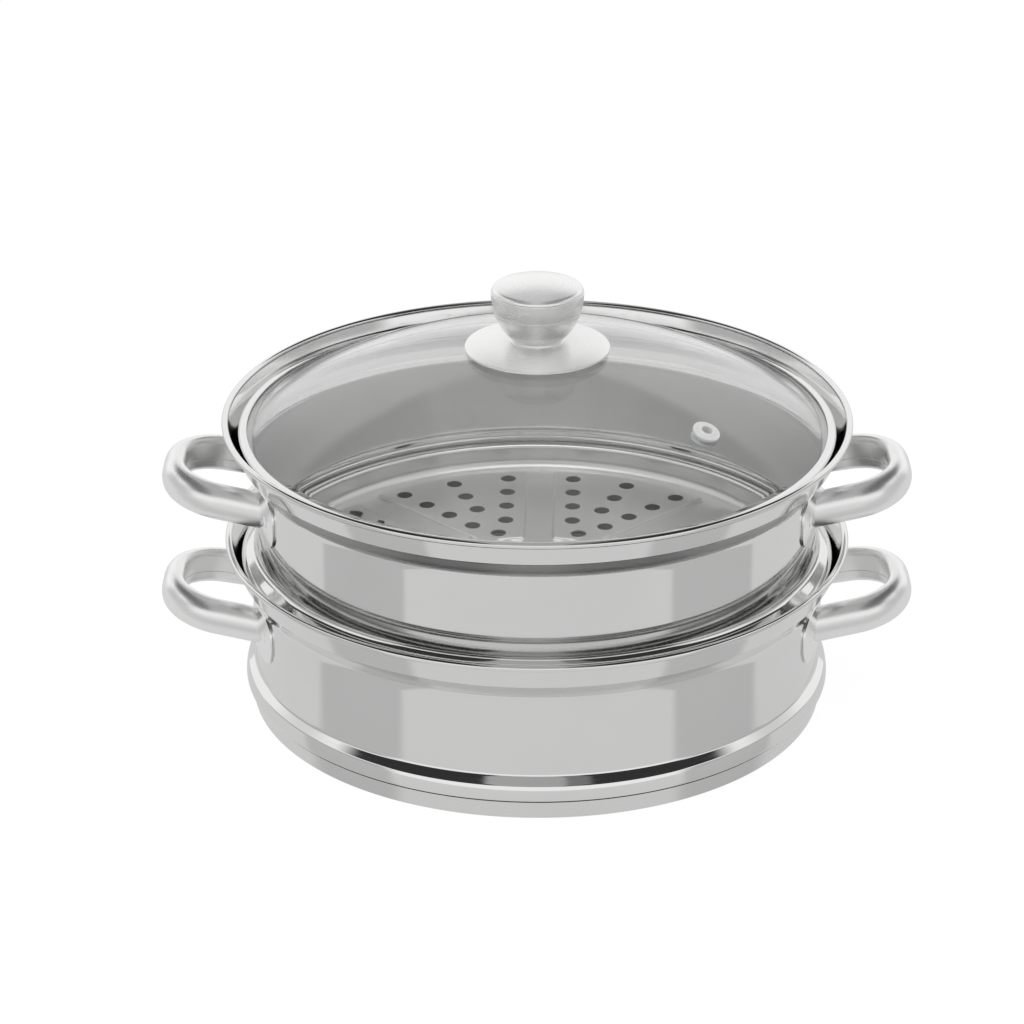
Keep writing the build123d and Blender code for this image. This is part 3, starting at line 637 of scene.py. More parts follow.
def rim_corners(start, centre, roll, sheet):
    """Corner points and rounds of a rolled edge at the end of a flare that runs from start
    to centre, then the foot of the roll on the inner face."""
    u = heading(start, centre)
    n = (u[1], -u[0])

    def point(along, out):
        return (centre[0] + roll * (along * u[0] + out * n[0]),
                centre[1] + roll * (along * u[1] + out * n[1]))

    inner = -sheet / roll
    dip = -sqrt(1 - inner ** 2)
    curl_end, curl_round = -0.25, 0.55  # shares of the roll
    points = [point(-1.0, 0.0), point(-1.0, 1.0), point(1.0, 1.0), point(1.0, -1.0),
              point(curl_end, -1.0), point(dip, inner)]
    return points, [0.0, roll, roll, roll, roll * curl_round, 0.0]


def pot_outline(s):
    """Outer outline of the pot from the middle of its floor to its rim."""
    wall = pot_wall(s)
    crease = s.rim_radius - s.crease_inset
    bead = wall + s.bead_overhang
    crease_height = s.rim_height - s.crease_drop
    bead_top = s.base_height + s.bead_rise
    points = [(0.0, s.base_height), (bead, s.base_height), (bead, bead_top - s.bead_side),
              (bead - s.bead_lean, bead_top), (wall, bead_top + s.cove_rise),
              (wall, crease_height - s.shoulder_drop), (crease, crease_height),
              (s.rim_radius - s.rim_roll, s.rim_height)]
    rounds = [0.0, s.bead_round, s.bead_side_round, s.bead_top_round, s.cove_round,
              s.shoulder_round, s.crease_round, 0.0]
    return points, rounds


def tier_outline(s):
    """Outer outline of the tier from its floor to its rim, its bead set on the shoulder of
    the pot with the seat gap between them."""
    pot, _ = pot_outline(s)
    foot, head = pot[-3:-1]
    seat_foot = shifted(foot, head, foot, s.vessel_sheet)
    seat_head = shifted(foot, head, head, s.vessel_sheet)
    slope = atan2(seat_head[1] - seat_foot[1], seat_head[0] - seat_foot[0])
    wall = tier_wall(s)
    crease = s.rim_radius - s.tier_crease_inset
    bead = wall + s.tier_bead_overhang
    contact = height_on(seat_foot, seat_head, bead - s.tier_bead_round)
    bead_bottom = contact + (s.tier_bead_round + s.seat_gap) / cos(slope) - s.tier_bead_round
    bead_top = bead_bottom + s.tier_bead_height
    rim_height = tier_rim(s)
    crease_height = rim_height - s.crease_drop
    floor = s.rim_height - s.tier_floor_drop - s.tier_sheet
    points = [(0.0, floor), (wall, floor), (wall, bead_bottom), (bead, bead_bottom),
              (bead, bead_top), (wall, bead_top + s.tier_cove_rise),
              (wall, crease_height - s.shoulder_drop), (crease, crease_height),
              (s.rim_radius - s.rim_roll, rim_height)]
    rounds = [0.0, s.tier_floor_round, s.tier_neck_round, s.tier_bead_round, s.tier_bead_round,
              s.tier_cove_round, s.shoulder_round, s.crease_round, 0.0]
    return points, rounds


def vessel_outline(points, rounds, sheet, roll):
    """Outline of a drawn vessel: outer face, rolled rim, inner face back to the axis."""
    inner, inner_rounds = beside(points, rounds, sheet)
    rim, rim_rounds = rim_corners(points[-2], points[-1], roll, sheet)
    return (points[:-1] + rim + inner[-2::-1],
            rounds[:-1] + rim_rounds + inner_rounds[-2::-1])


# ---------------------------------------------------------------- operators

class STEAMER_OT_pot_body(bpy.types.Operator):
    """Spins the pot's drawn body with its bead, shoulder and rolled rim"""
    bl_idname = "steamer.pot_body"
    bl_label = "Pot body"

    def execute(self, context):
        s = sizes(context, "vessels")
        points, rounds = pot_outline(s)
        outline, radii = vessel_outline(points, rounds, s.vessel_sheet, s.rim_roll)
        steel = polished_steel("Pot polished steel", sizes(context, "finish"),
                               inside=pot_wall(s) - s.vessel_sheet / 2)
        piece = spun("pot_shell", outline, radii, steel, closed=False)
        stands_for(piece, "pot_body", "pot")
        return {"FINISHED"}


class STEAMER_OT_base(bpy.types.Operator):
    """Spins the steel cap of the capsule base and dresses its aluminium core"""
    bl_idname = "steamer.base"
    bl_label = "Capsule base"

    def execute(self, context):
        s = sizes(context, "vessels")
        finish = sizes(context, "finish")
        wall = pot_wall(s)
        points = [(0.0, 0.0), (wall + s.base_overhang, 0.0),
                  (wall + s.base_top_overhang, s.base_height - s.base_groove)]
        rounds = [0.0, s.base_edge_round + s.base_cap_sheet, 0.0]
        steel = polished_steel("Base ground steel", finish, lines=1600.0, rough=3.0)
        cap = spun("pot_base_shell", *sheet_outline(points, rounds, s.base_cap_sheet), steel,
                   closed=False)
        stands_for(cap, "pot_base_cap", "pot")
        dress("pot_base_core", spun_aluminium("Core aluminium", finish))
        return {"FINISHED"}


class STEAMER_OT_tier_body(bpy.types.Operator):
    """Makes the steamer tier: spun wall and floor with eight raised, holed panels"""
    bl_idname = "steamer.tier_body"
    bl_label = "Steamer tier"

    # Where the floor meets the spun wall, as a share of the plain floor outside the panels,
    # and how near that seam the faces lie that the floor's thickness adds there
    SEAM_SHARE, NEAR_SEAM = 0.74, 1e-5
    # The pressed edge: its foot and top rounds as shares of its round, how much wider it is
    # than high, and the steps of each round
    EDGE_FOOT, EDGE_TOP, EDGE_SPREAD, EDGE_STEPS = 0.8, 1.2, 1.5, 3
    # Steps of a hole's circle and of a panel's outer and inner edges
    HOLE_STEPS, OUTER_STEPS, INNER_STEPS = 32, 24, 8
    # Distance of the ground band of the shoulder from its ends
    SHOULDER_MARGIN = 0.3 * MM

    def execute(self, context):
        s = sizes(context, "vessels")
        floor = sizes(context, "floor")
        points, rounds = tier_outline(s)
        outline, radii = vessel_outline(points, rounds, s.tier_sheet, s.rim_roll)
        joint = tier_wall(s) - floor.panel_wall_margin * self.SEAM_SHARE
        outline[0] = (joint, outline[0][1])
        outline[-1] = (joint, outline[-1][1])
        bm = bmesh.new()
        self.sector(bm, s, floor, joint, points[0][1] + s.tier_sheet)
        bmesh.ops.spin(bm, geom=bm.verts[:] + bm.edges[:] + bm.faces[:], cent=(0, 0, 0),
                       axis=(0, 0, 1), dvec=(0, 0, 0),
                       angle=2 * pi * (floor.panel_count - 1) / floor.panel_count,
                       steps=floor.panel_count - 1, use_merge=False, use_normal_flip=False,
                       use_duplicate=True)
        bmesh.ops.remove_doubles(bm, verts=bm.verts, dist=SAME_JOINT)
        bmesh.ops.recalc_face_normals(bm, faces=bm.faces)
        if sum(face.normal.z * face.calc_area() for face in bm.faces) < 0:
            bmesh.ops.reverse_faces(bm, faces=bm.faces)
        bmesh.ops.solidify(bm, geom=bm.faces[:], thickness=s.tier_sheet)
        edge = [face for face in bm.faces
                if all(abs(hypot(v.co.x, v.co.y) - joint) < self.NEAR_SEAM
                       for v in face.verts)]
        bmesh.ops.delete(bm, geom=edge, context="FACES_ONLY")
        shell = bmesh.new()
        wire(shell, outline, radii, closed=False)
        spin_wire(shell)
        wall = bpy.data.meshes.new("tier wall")
        shell.to_mesh(wall)
        shell.free()
        bm.from_mesh(wall)
        bpy.data.meshes.remove(wall)
        bmesh.ops.remove_doubles(bm, verts=bm.verts, dist=SAME_SEAM)
        bmesh.ops.rotate(bm, verts=bm.verts, cent=(0, 0, 0),
                         matrix=Matrix.Rotation(floor.floor_turn + pi / floor.panel_count, 3, "Z"))
        low, high = points[-3:-1]
        steel = polished_steel("Tier polished steel", sizes(context, "finish"),
                               inside=tier_wall(s) - s.tier_sheet / 2,
                               shoulder=(low[0] + self.SHOULDER_MARGIN, low[1],
                                         high[1] - self.SHOULDER_MARGIN))
        piece = finished(bm, "steamer_shell", steel)
        stands_for(piece, "steamer_body", "steamer")
        return {"FINISHED"}

    def sector(self, bm, s, floor, joint, height):
        """One eighth of the floor: its flat, one raised panel and the panel's holes."""
        half = pi / floor.panel_count
        steps = SPIN_STEPS // floor.panel_count
        start = bm.verts.new((joint * cos(-half), joint * sin(-half), height))
        middle = bm.verts.new((0.0, 0.0, height))
        made = bmesh.ops.spin(bm, geom=[start], cent=(0, 0, 0), axis=(0, 0, 1),
                              dvec=(0, 0, 0), angle=2 * half, steps=steps, use_merge=False)
        bm.edges.new((middle, start))
        bm.edges.new((made["geom_last"][0], middle))
        outer = bm.edges[:]
        foot, top = (floor.panel_edge_round * part for part in (self.EDGE_FOOT, self.EDGE_TOP))
        spread, steps = self.EDGE_SPREAD, self.EDGE_STEPS
        quarter = [pi / 2 * step / steps for step in range(steps + 1)]
        ramp = [(spread * foot * (sin(t) - 1), foot * (1 - cos(t))) for t in quarter]
        ramp += [(spread * top * (1 - cos(t)), floor.panel_rise - top * (1 - sin(t)))
                 for t in quarter]
        loops = [self.panel_loop(bm, s, floor, half, inset, height + rise)
                 for inset, rise in ramp]
        for below, above in zip(loops, loops[1:]):
            bmesh.ops.bridge_loops(bm, edges=below + above)
        holes = []
        for x, y in self.hole_places(s, floor, half):
            circle = bmesh.ops.create_circle(
                bm, cap_ends=False, radius=floor.hole_diameter / 2, segments=self.HOLE_STEPS,
                matrix=Matrix.Translation((x, y, height + floor.panel_rise)))
            holes += {edge for vert in circle["verts"] for edge in vert.link_edges}
        bmesh.ops.triangle_fill(bm, use_beauty=True, use_dissolve=False, edges=outer + loops[0])
        bmesh.ops.triangle_fill(bm, use_beauty=True, use_dissolve=False, edges=loops[-1] + holes)

    def at_margin(self, half, radius, side, margin):
        """Point at a radius, a margin inside one straight edge of the sector."""
        along = sqrt(radius ** 2 - margin ** 2)
        return (cos(half) * along + sin(half) * margin,
                side * (sin(half) * along - cos(half) * margin))

    def panel_loop(self, bm, s, floor, half, inset, height):
        """Closed outline of a panel, moved inwards by an inset, at a height."""
        inner = floor.panel_inner_radius + inset
        outer = tier_wall(s) - floor.panel_wall_margin - inset
        margin = floor.panel_margin + inset
        before = set(bm.edges)
        corners = []
        for radius, side, steps in ((outer, -1, self.OUTER_STEPS), (inner, 1, self.INNER_STEPS)):
            x, y = self.at_margin(half, radius, side, margin)
            first = bm.verts.new((x, y, height))
            made = bmesh.ops.spin(bm, geom=[first], cent=(0, 0, 0), axis=(0, 0, 1),
                                  dvec=(0, 0, 0), angle=-2 * atan2(y, x), steps=steps,
                                  use_merge=False)
            corners += [first, made["geom_last"][0]]
        bm.edges.new((corners[1], corners[2]))
        bm.edges.new((corners[3], corners[0]))
        for corner in corners:
            round_corner(bm, corner, floor.panel_corner - inset)
        return [edge for edge in bm.edges if edge not in before]

    def hole_places(self, s, floor, half):
        """Middles of the steam holes of one panel."""
        first = floor.panel_inner_radius + floor.hole_inner_margin
        last = tier_wall(s) - floor.panel_wall_margin - floor.hole_outer_margin
        pitch = (last - first) / (floor.hole_rings - 1)
        rings = [first + pitch * ring for ring in range(floor.hole_rings)]
        places = [self.at_margin(half, ring, side, floor.hole_row_offset)
                  for ring in rings for side in (1, -1)]
        places += [(ring, 0.0) for ring in rings[1:]]
        return places + [(floor.panel_inner_radius + floor.lone_hole_margin, 0.0)]


class STEAMER_OT_handles(bpy.types.Operator):
    """Sweeps the four loop handles and dresses their brackets"""
    bl_idname = "steamer.handles"
    bl_label = "Handles and brackets"

    # Steps of the bar's outer face and of each bend, and the round of the seam's edges as a
    # share of its width
    BULGE_STEPS, BEND_STEPS, SEAM_EDGE = 28, 22, 0.3

    def execute(self, context):
        s = sizes(context, "vessels")
        h = sizes(context, "handles")
        finish = sizes(context, "finish")
        bar = satin_steel("Handle satin steel", finish, metal=1.18)
        plate = satin_steel("Bracket satin steel", finish, scale=1.4, rough=0.6, metal=1.25)
        places = {"pot": (pot_wall(s), s.rim_height), "steamer": (tier_wall(s), tier_rim(s))}
        for vessel, (wall, rim) in places.items():
            for side, sign in SIDES:
                piece = self.loop(h, wall, rim, sign, f"{vessel}_loop_{side}", bar)
                stands_for(piece, f"{vessel}_handle_{side}", vessel)
                for end in ("front", "back"):
                    dress(f"{vessel}_bracket_{side}_{end}", plate)
        return {"FINISHED"}

    def section(self, bm, h):
        """Outline of the bar: X points out of the loop, Z is its height."""
        half = h.bar_height / 2
        depth = h.inner_depth
        seam = -h.seam_drop
        points = [(0.0, half), (-depth, half), (-depth, seam + h.seam_width / 2),
                  (-depth + h.seam_depth, seam), (-depth, seam - h.seam_width / 2),
                  (-depth, -half), (0.0, -half)]
        verts = [bm.verts.new((x, 0.0, z)) for x, z in points]
        for first, second in zip(verts, verts[1:]):
            bm.edges.new((first, second))
        bmesh.ops.spin(bm, geom=[verts[-1]], cent=(0, 0, 0), axis=(0, -1, 0), dvec=(0, 0, 0),
                       angle=pi, steps=self.BULGE_STEPS, use_merge=False)
        arc = [vert for vert in bm.verts if vert not in verts]
        bmesh.ops.scale(bm, vec=(h.outer_bulge / half, 1.0, 1.0), verts=arc)
        bmesh.ops.remove_doubles(bm, verts=bm.verts, dist=SAME_JOINT)
        for corner in (verts[1], verts[5]):
            round_corner(bm, corner, h.corner)
        for corner in (verts[2], verts[4]):
            round_corner(bm, corner, h.seam_width * self.SEAM_EDGE)

    def loop(self, h, wall, rim, sign, name, material):
        """One loop: the section drawn along two legs and a bar with a bend between each."""
        foot = -h.spread ** 2 / wall
        tip = (h.reach - h.outer_bulge) / cos(h.tilt)
        leg = Vector((tip - foot, h.spread - h.tip_spread, 0.0))
        turn = atan2(leg.x, leg.y)
        setback = h.bend * tan(turn / 2)
        bm = bmesh.new()
        self.section(bm, h)
        # the section stands square to the first leg, its outside away from the loop
        bmesh.ops.rotate(bm, verts=bm.verts, cent=(0, 0, 0),
                         matrix=Matrix.Rotation(-turn, 3, "Z"))
        at = Vector((foot, -h.spread, 0.0))
        bmesh.ops.translate(bm, verts=bm.verts, vec=at)
        first = bm.verts[:]
        bend = Matrix.Rotation(turn, 3, "Z")
        ahead = leg.normalized()
        runs = (leg.length - setback, 2 * h.tip_spread - 2 * setback, leg.length - setback)
        front = self.drawn_out(bm, bm.edges[:], ahead * runs[0])
        at = at + ahead * runs[0]
        for run in runs[1:]:
            centre = at + Vector((-ahead.y, ahead.x, 0.0)) * h.bend
            made = bmesh.ops.spin(bm, geom=front, cent=centre, axis=(0, 0, 1), dvec=(0, 0, 0),
                                  angle=turn, steps=self.BEND_STEPS, use_merge=False)
            ahead = bend @ ahead
            at = centre + bend @ (at - centre) + ahead * run
            front = self.drawn_out(bm, self.kept(made["geom_last"], bmesh.types.BMEdge),
                                   ahead * run)
        last = self.kept(front, bmesh.types.BMVert)
        matrix = Matrix.Translation((wall, 0.0, rim - h.drop)) @ Matrix.Rotation(-h.tilt, 4, "Y")
        bmesh.ops.transform(bm, verts=bm.verts, matrix=matrix)
        turned = matrix.to_3x3()
        for ring, direction in ((first, leg.normalized()), (last, ahead)):
            self.land(ring, turned @ direction, wall + h.bracket_sheet)
            foot_edges = {edge for vert in ring for edge in vert.link_edges if edge.is_boundary}
            bmesh.ops.contextual_create(bm, geom=list(foot_edges))
        if sign < 0:
            bmesh.ops.rotate(bm, verts=bm.verts, cent=(0, 0, 0),
                             matrix=Matrix.Rotation(pi, 3, "Z"))
        return finished(bm, name, material)

    def kept(self, items, kind):
        """Items of one kind, such as the edges."""
        return [item for item in items if isinstance(item, kind)]

    def drawn_out(self, bm, edges, move):
        """Draws the open end of the bar out by a move, and gives its new points and edges."""
        made = bmesh.ops.extrude_edge_only(bm, edges=edges)["geom"]
        moved = self.kept(made, bmesh.types.BMVert)
        bmesh.ops.translate(bm, verts=moved, vec=move)
        ends = set(moved)
        return moved + [edge for edge in self.kept(made, bmesh.types.BMEdge)
                        if ends.issuperset(edge.verts)]

    def land(self, ring, direction, radius):
        """Slides the end of a leg along its own line until it meets the bracket's face."""
        for vert in ring:
            across = direction.x ** 2 + direction.y ** 2
            half = vert.co.x * direction.x + vert.co.y * direction.y
            rest = vert.co.x ** 2 + vert.co.y ** 2 - radius ** 2
            root = sqrt(half ** 2 - across * rest)
            slide = min((-half + root) / across, (-half - root) / across, key=abs)
            vert.co += direction * slide


def bow(start, middle, end, share):
    """Corner and radius that bend an outline from start to end through the middle, the radius
    cut to a share that leaves room for the rounds at its ends."""
    ax, az = middle[0] - start[0], middle[1] - start[1]
    bx, bz = end[0] - start[0], end[1] - start[1]
    cross = 2 * (ax * bz - az * bx)
    a2, b2 = ax * ax + az * az, bx * bx + bz * bz
    centre = (start[0] + (bz * a2 - az * b2) / cross, start[1] + (ax * b2 - bx * a2) / cross)
    radius = hypot(start[0] - centre[0], start[1] - centre[1])
    mid = ((start[0] + end[0]) / 2, (start[1] + end[1]) / 2)
    reach = hypot(mid[0] - centre[0], mid[1] - centre[1])
    scale = radius ** 2 / reach ** 2
    corner = (centre[0] + (mid[0] - centre[0]) * scale, centre[1] + (mid[1] - centre[1]) * scale)
    return corner, radius * share


def lid_places(context):
    """Radii and heights of the lid that its pieces share."""
    s, lid = sizes(context, "vessels"), sizes(context, "lid")
    band = s.rim_radius - s.tier_crease_inset - lid.band_inset
    band_top = tier_rim(s) - lid.band_top_drop
    flange = band_top - lid.band_sheet
    glass = band - lid.band_sheet
    foot = glass - lid.glass_flange_width
    dome = (foot ** 2 + lid.glass_rise ** 2) / (2 * lid.glass_rise)
    return {"band": band, "band_top": band_top, "flange": flange, "glass": glass,
            "dome": dome, "middle": flange + lid.glass_rise - dome}


class STEAMER_OT_lid(bpy.types.Operator):
    """Spins the domed glass, cuts its vent hole and folds the steel band round its flange"""
    bl_idname = "steamer.lid"
    bl_label = "Lid glass and band"

    # Steps of the vent's circle, and the cutter's length in thicknesses of the glass
    VENT_STEPS, CUTTER_LENGTH = 48, 6

    def execute(self, context):
        finish = sizes(context, "finish")
        lid = sizes(context, "lid")
        at = lid_places(context)
        glass = self.glass(lid, at, lid_glass_material("Lid glass", finish))
        self.cut_vent(glass, lid, at)
        glass.visible_shadow = False
        stands_for(glass, "lid_glass", "lid")
        band = self.band(context, lid, at, polished_steel("Band polished steel", finish, rough=0.8))
        stands_for(band, "lid_band", "lid")
        return {"FINISHED"}

    def glass(self, lid, at, material):
        """Closed outline of the dome and its flange, spun."""
        blend_x = sqrt((at["dome"] + lid.glass_blend) ** 2
                       - (at["flange"] + lid.glass_blend - at["middle"]) ** 2)
        slope = atan2(blend_x, at["flange"] + lid.glass_blend - at["middle"])

        def side(depth):
            radius = at["dome"] - depth
            level = at["flange"] - depth
            start = atan2(lid.glass_hole_radius, radius)
            start_point = (radius * sin(start), at["middle"] + radius * cos(start))
            reach = radius / cos((slope - start) / 2)
            crown = (reach * sin((slope + start) / 2),
                     at["middle"] + reach * cos((slope + start) / 2))
            touch = (radius * sin(slope), at["middle"] + radius * cos(slope))
            corner = (touch[0] + (touch[1] - level) / tan(slope), level)
            return [start_point, crown, corner], [0.0, radius, lid.glass_blend + depth]

        top, top_rounds = side(0.0)
        low, low_rounds = side(lid.glass_thickness)
        edge = [(at["glass"], at["flange"]), (at["glass"], at["flange"] - lid.glass_thickness)]
        return spun("lid_dome", top + edge + low[::-1],
                    top_rounds + [lid.glass_edge_round] * 2 + low_rounds[::-1], material)

    def cut_vent(self, glass, lid, at):
        """Takes the vent's hole out of the glass, square to the dome."""
        rise = sqrt(at["dome"] ** 2 - lid.vent_distance ** 2)
        matrix = (Matrix.Translation((0, 0, at["middle"])) @ Matrix.Rotation(lid.vent_angle, 4, "Z")
                  @ Matrix.Rotation(atan2(lid.vent_distance, rise), 4, "Y")
                  @ Matrix.Translation((0, 0, at["dome"])))
        bm = bmesh.new()
        bmesh.ops.create_cone(bm, cap_ends=True, segments=self.VENT_STEPS,
                              radius1=lid.vent_hole_radius, radius2=lid.vent_hole_radius,
                              depth=self.CUTTER_LENGTH * lid.glass_thickness, matrix=matrix)
        mesh = bpy.data.meshes.new("vent cutter")
        bm.to_mesh(mesh)
        bm.free()
        cutter = bpy.data.objects.new("vent_cutter", mesh)
        bpy.context.scene.collection.objects.link(cutter)
        cut = glass.modifiers.new("Vent hole", "BOOLEAN")
        cut.operation = "DIFFERENCE"
        cut.solver = "EXACT"
        cut.object = cutter
        bpy.context.view_layer.update()
        graph = bpy.context.evaluated_depsgraph_get()
        whole = glass.data
        glass.data = bpy.data.meshes.new_from_object(glass.evaluated_get(graph))
        glass.modifiers.clear()
        bpy.data.meshes.remove(whole)
        bpy.data.objects.remove(cutter)
        bpy.data.meshes.remove(mesh)

    def band(self, context, lid, at, material):
        """Band folded over the flange, its foot resting in the tier's flare."""
        s = sizes(context, "vessels")
        tier, _ = tier_outline(s)
        fold = lid.band_fold_round + lid.band_sheet
        foot_fold = lid.band_foot_round + lid.band_sheet
        depth = s.tier_sheet + s.seat_gap + foot_fold
        rest = [shifted(tier[-2], tier[-1], point, depth) for point in tier[-2:]]
        level = height_on(rest[0], rest[1], at["band"] - foot_fold)
        foot = level - foot_fold * tan((pi / 2 + lid.band_fold_slope) / 2)
        lip = at["flange"] - lid.glass_thickness - lid.band_sheet
        bend = at["band"] - (lip - foot) / tan(lid.band_fold_slope)
        inner = at["band"] - lid.band_lip_width
        points = [(inner, at["band_top"]), (at["band"], at["band_top"]), (at["band"], foot),
                  (bend, lip), (inner, lip)]
        rounds = [0.0, fold, foot_fold, lid.band_lip_round, 0.0]
        return spun("lid_band_ring", *sheet_outline(points, rounds, -lid.band_sheet), material)


class STEAMER_OT_vent(bpy.types.Operator):
    """Dresses the steam vent"""
    bl_idname = "steamer.vent"
    bl_label = "Steam vent"

    def execute(self, context):
        finish = sizes(context, "finish")
        dress("vent_eyelet", satin_steel("Vent bright steel", finish, rough=1.2, metal=0.6))
        dress("vent_bush", silicone_material("Vent silicone", finish))
        return {"FINISHED"}


class STEAMER_OT_knob(bpy.types.Operator):
    """Spins the plate, the cup, the ring and the cap of the knob"""
    bl_idname = "steamer.knob"
    bl_label = "Knob"

    # Shares of the full radius of each bowed face
    PLATE_BOW, CUP_BOW, RING_BOW, CAP_BOW, CAP_INNER_BOW = 0.88, 0.93, 0.9, 0.8, 0.7
    # Small rounds at the foot of the cup and of the cap
    CUP_FOOT_ROUND, CAP_FOOT_ROUND = 0.2 * MM, 0.15 * MM

    def execute(self, context):
        k = sizes(context, "knob")
        at = lid_places(context)
        finish = sizes(context, "finish")
        satin = satin_steel("Knob satin steel", finish, turned=True)
        foot = at["middle"] + sqrt(at["dome"] ** 2 - k.plate_radius ** 2) + k.plate_clearance
        edge = foot + k.plate_sheet
        base = edge + k.plate_rise
        top = base + k.plate_boss_height
        seam = (k.knob_radius - k.seam_inset, top + k.cup_height)
        crest = (k.knob_radius, seam[1] + k.ring_height)
        pieces = {
            "knob_base_plate": self.plate(k, edge, base, top),
            "knob_cup": self.cup(k, top, seam),
            "knob_ring": self.ring(k, seam, crest),
            "knob_cap": self.cap(k, crest[1]),
        }
        for node, (points, rounds, closed) in pieces.items():
            piece = spun(node.replace("knob_", "knob_spun_"), points, rounds, satin,
                         closed=closed, steps=KNOB_STEPS)
            stands_for(piece, node, "lid")
        return {"FINISHED"}

    def plate(self, k, edge, base, top):
        """Shallow plate with the boss that the knob stands on."""
        outer, neck = (k.plate_radius, edge), (k.plate_boss_radius, base)
        run = hypot(outer[0] - neck[0], outer[1] - neck[1])
        middle = ((outer[0] + neck[0]) / 2 + k.plate_crown * (base - edge) / run,
                  (outer[1] + neck[1]) / 2 + k.plate_crown * (outer[0] - neck[0]) / run)
        crown, radius = bow(neck, middle, outer, self.PLATE_BOW)
        s = k.plate_sheet
        face = [(k.screw_hole_radius, top), (k.plate_boss_radius, top), neck, crown, outer]
        rounds = [0.0, k.plate_boss_round, k.plate_neck_round, radius, k.plate_edge_round]
        back = [(outer[0], edge - s), (outer[0] - s, edge - s), (crown[0] - s, crown[1] - s),
                (neck[0] - s, base - s), (k.plate_boss_radius - s, top - s),
                (k.screw_hole_radius, top - s)]
        return face + back, rounds + [0.0, 0.0, radius, 0.0, 0.0, 0.0], True

    def cup(self, k, top, seam):
        """Flared cup under the seam, open at its top."""
        s = k.knob_sheet
        foot = (k.plate_boss_radius + k.foot_overhang, top + k.foot_rise)
        waist = (k.knob_radius - k.waist_inset, top + k.waist_rise)
        flare, radius = bow(foot, waist, seam, self.CUP_BOW)
        face = [(k.screw_hole_radius, top), (k.plate_boss_radius, top), foot, flare, seam]
        rounds = [0.0, 0.0, self.CUP_FOOT_ROUND, radius, k.seam_bevel]
        back = [(seam[0] - s, seam[1]), (flare[0] - s, flare[1] + s), (foot[0] - s, foot[1] + s),
                (k.screw_hole_radius, top + s)]
        return face + back, rounds + [0.0, radius, 0.0, 0.0], True

    def ring(self, k, seam, crest):
        """Bulging ring between the two seams."""
        s = k.knob_sheet
        belly = (k.knob_radius - k.belly_inset, seam[1] + k.belly_rise)
        bulge, radius = bow(seam, belly, crest, self.RING_BOW)
        face = [seam, bulge, crest]
        back = [(x - s, z) for x, z in face[::-1]]
        return face + back, [k.seam_bevel, radius, k.seam_bevel, 0.0, radius, 0.0], True

    def cap(self, k, height):
        """Crowned cap, open below."""
        s = k.knob_sheet
        radius = k.knob_radius - k.cap_inset
        fall = k.cap_crown - sqrt(k.cap_crown ** 2 - radius ** 2)
        slope = atan2(radius, k.cap_crown - fall)
        edge = height + k.cap_side + k.cap_round * tan((pi / 2 - slope) / 2)
        crown = (k.cap_crown * tan(slope / 2), edge + fall)
        face = [(0.0, edge + fall), crown, (radius, edge), (radius, height)]
        back = [(radius - s, height), (radius - s, edge - s), (crown[0] - s, crown[1] - s),
                (0.0, edge + fall - s)]
        rounds = [0.0, k.cap_crown * self.CAP_BOW, k.cap_round, self.CAP_FOOT_ROUND, 0.0,
                  k.cap_round - s, k.cap_crown * self.CAP_INNER_BOW, 0.0]
        return face + back, rounds, False


class STEAMER_OT_fastening(bpy.types.Operator):
    """Dresses the screw, bush, washers and gaskets that hold the knob"""
    bl_idname = "steamer.fastening"
    bl_label = "Knob fastening"

    def execute(self, context):
        finish = sizes(context, "finish")
        plain = satin_steel("Plain turned steel", finish, turned=True, rough=1.3)
        silicone = silicone_material("Gasket silicone", finish)
        for node in ("knob_bush", "inner_washer", "lock_washer", "knob_screw"):
            dress(node, plain)
        for node in ("knob_gasket", "inner_gasket"):
            dress(node, silicone)
        return {"FINISHED"}


